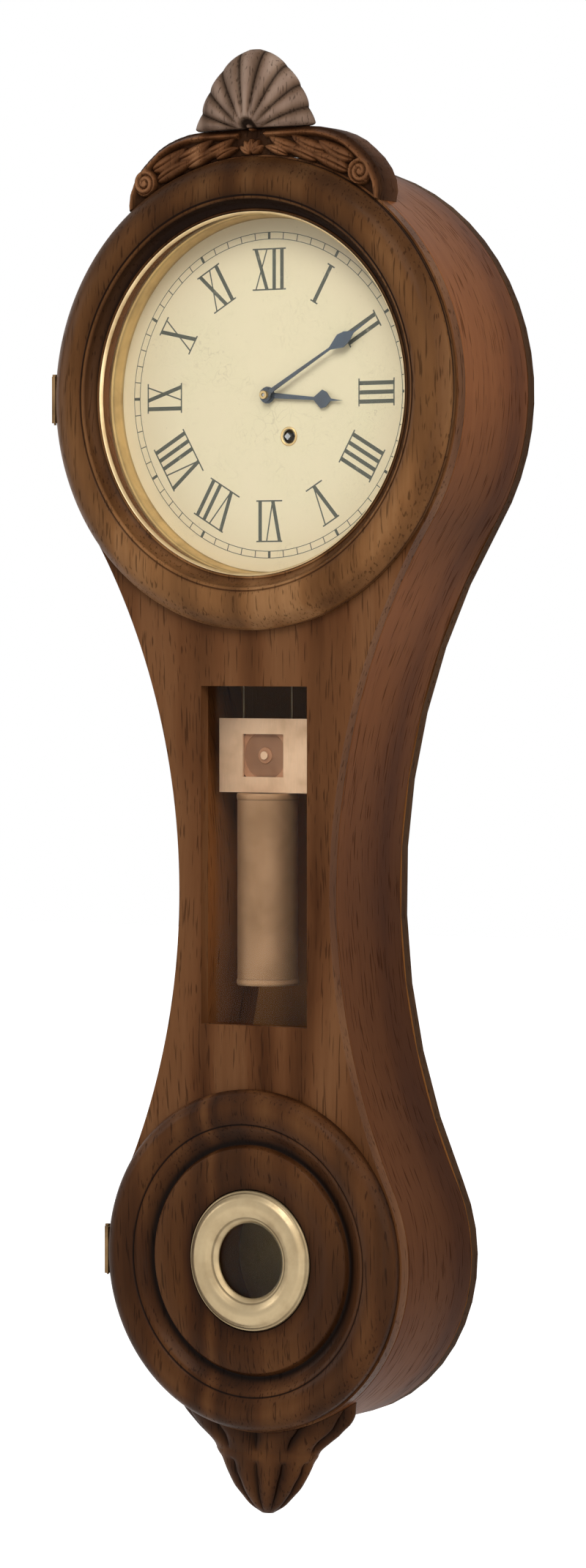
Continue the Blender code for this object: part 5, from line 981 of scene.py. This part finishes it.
# %% The rim of the dial and the grommet of the winding hole
rim_low, rim_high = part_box("dial_rim")
rim_groups = [[(0.150, rim_high.y, -0.5), (0.150, rim_low.y, -0.5)],
              [(0.1380, rim_low.y, 0.0), (0.1376, rim_low.y + 0.0012, 0.3),
               (0.1372, rim_low.y + 0.0020, -0.4), (0.1366, rim_low.y + 0.0042, 0.1),
               (0.1357, rim_high.y - 0.0030, 0.2), (0.1352, rim_high.y - 0.0012, -0.3),
               (0.1347, rim_high.y, -0.5)]]
turned_piece("gilt_reveal", rim_groups, 180, DIAL_AXIS, rim_gilt, "clock_case", ["dial_rim"])
grommet = [[(0.0055, dial_y + 0.0008, -0.3), (0.0074, dial_y - 0.00002, -0.3)],
           [(0.0073, dial_y - 0.0004, 0.2), (0.0066, dial_y - 0.0008, 0.5), (0.0059, dial_y - 0.0006, 0.3),
            (0.0055, dial_y - 0.0002, 0.0)]]
turned_piece("winding_grommet", grommet, 48, middle("line_drum"), plain_brass, "clock_case")
print("dial rim from radius", rim_groups[1][-1][0], "to", rim_groups[0][0][0])

# %% [markdown]
# ## The hands
#
# The hands are sheet steel, sawn to a spade, filed to a slight ridge and blued. The CAD hands are flat plates
# of the same outline, so they stay and get a filed edge and the blue. The hinges, catches, hanger plate and
# movement stay as well, and each takes the metal that its slot in the CAD model names.

# %% Hands and the rest of the metalwork
slot_metals = {"blued_steel": blued_steel, "steel": grey_steel, "brass": plain_brass}
slots = {name: node.data.materials[0].name for name, node in cad_nodes.items()}
metalwork = [name for name in cad_nodes if slots[name] in slot_metals]
hinges = [name for name in metalwork if "_hinge_" in name]
for name in metalwork:
    dress(slot_metals[slots[name]], name)
dress(dark_brass, *hinges)
dress(yoke_brass, "weight_yoke")
for name in ("hour_hand", "minute_hand"):
    bevel(cad_nodes[name], 0.00028, 3, 30)
plates = ["weight_yoke", "movement_front_plate", "movement_back_plate", "hanger_plate"]
for name in plates + [name for name in hinges if "leaf" in name]:
    bevel(cad_nodes[name], 0.0003, 2, 50)
print("metal CAD nodes", len(metalwork))

# %% [markdown]
# ## The weight, its pulley, the line and the bob
#
# The weight is a brass tube filled with lead, with a rolled lip at each end. It hangs in a brass yoke from a
# bronze pulley, and a gut line passes under the pulley from the drum to a stud. The bob is a brass lens that
# fills most of the foot's window.

# %% Weight, pulley and bob
weight_low, weight_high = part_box("weight")
weight_r = half_size("weight").x
BORE = 0.0006
end_groups = [[(BORE, 0.0006, -0.3), (weight_r - 0.0012, 0.0, 0.0)],
              [(weight_r - 0.0008, 0.0, 0.2), (weight_r - 0.0001, 0.0012, 0.6), (weight_r, 0.0026, 0.6),
               (weight_r - 0.0002, 0.0042, 0.3), (weight_r - 0.0006, 0.0050, -0.6)],
              [(weight_r - 0.0006, 0.0056, 0.0)]]
weight_groups = [[(r, weight_low.z + h, age_and_shade) for r, h, age_and_shade in group] for group in end_groups]
weight_groups += [[(r, weight_high.z - h, age_and_shade) for r, h, age_and_shade in group[::-1]] for group in end_groups[::-1]]
turned_piece("brass_weight", weight_groups, 96, middle("weight"), weight_brass, "driving_weight", ["weight"],
             "Z")

pulley_mid = middle("pulley")
pulley_r, pulley_half, _ = half_size("pulley")
cheek = [(0.0023, pulley_half, -0.3), (0.0060, pulley_half, 0.2), (0.0066, pulley_half - 0.0009, -0.5),
         (pulley_r - 0.0058, pulley_half - 0.0009, -0.4), (pulley_r - 0.0052, pulley_half, 0.3),
         (pulley_r - 0.0004, pulley_half, 0.4), (pulley_r, pulley_half - 0.0005, 0.5),
         (pulley_r, 0.0019, 0.3), (pulley_r - 0.0031, 0.0009, -0.6)]
pulley_groups = [[(r, pulley_mid.y - out, age_and_shade)] for r, out, age_and_shade in cheek]
pulley_groups += [[(r, pulley_mid.y + out, age_and_shade)] for r, out, age_and_shade in cheek[::-1]]
turned_piece("bronze_pulley", pulley_groups, 96, pulley_mid, pulley_bronze, "weight_pulley", ["pulley"])

bob_mid = middle("pendulum_bob")
bob_r, bob_half, _ = half_size("pendulum_bob")
lens_shares = [(0.04, 1.0), (0.45, 0.93), (0.75, 0.72), (0.93, 0.42), (0.985, 0.24), (1.0, 0.12)]
bob_front = [(bob_r * r, bob_mid.y - bob_half * t, 0.2) for r, t in lens_shares]
bob_back = [(bob_r * r, bob_mid.y + bob_half * t, 0.0) for r, t in reversed(lens_shares)]
turned_piece("brass_bob", [bob_front, bob_back], 120, bob_mid, bob_brass, "bob", ["pendulum_bob"])
print("radius of weight", round(weight_r, 4), "pulley", round(pulley_r, 4), "bob", round(bob_r, 4))


# %% The gut line
def cord(name, points, steps=10):
    """A gut cord along points in the plane of the pulley, closed at its ends, with its UVs in metres."""
    points = [Vector(p) for p in points]
    verts, uvs, run_length = [], [], 0.0
    out = Vector((0, 1, 0))
    for i, point in enumerate(points):
        ahead = (points[min(i + 1, len(points) - 1)] - points[max(i - 1, 0)]).normalized()
        across = ahead.cross(out).normalized()
        if i:
            run_length += (point - points[i - 1]).length
        for k in range(steps):
            turn = 2 * math.pi * k / steps
            verts.append(point + LINE_R * (math.cos(turn) * out + math.sin(turn) * across))
            uvs.append((run_length, turn * LINE_R))
    return add(name, verts, bands(len(points), steps), gut_cord, sharp=60, uvs=uvs)


LINE_R, BEND_R, LINE_STEPS = 0.0006, 0.022, 40
drum_z, STUD_Z = middle("line_drum").z, -0.0718
line_x, line_y, line_z = pulley_mid
bend = arc(BEND_R, 0, -math.pi, LINE_STEPS, line_x, line_z) + [(line_x - BEND_R, line_z)]
falls = []
for name, x, top in (("gut_fall_right", line_x + BEND_R, drum_z), ("gut_fall_left", line_x - BEND_R, STUD_Z)):
    fall = cord(name, [(x, line_y, top + (line_z - top) * i / LINE_STEPS) for i in range(LINE_STEPS + 1)])
    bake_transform(fall)
    falls.append(fall)
bend_piece = cord("gut_bend", [(x, line_y, z) for x, z in bend])
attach(bend_piece, "driving_weight")
for piece in falls + [bend_piece]:
    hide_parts("weight_line")
print("line falls", [fall.name for fall in falls])
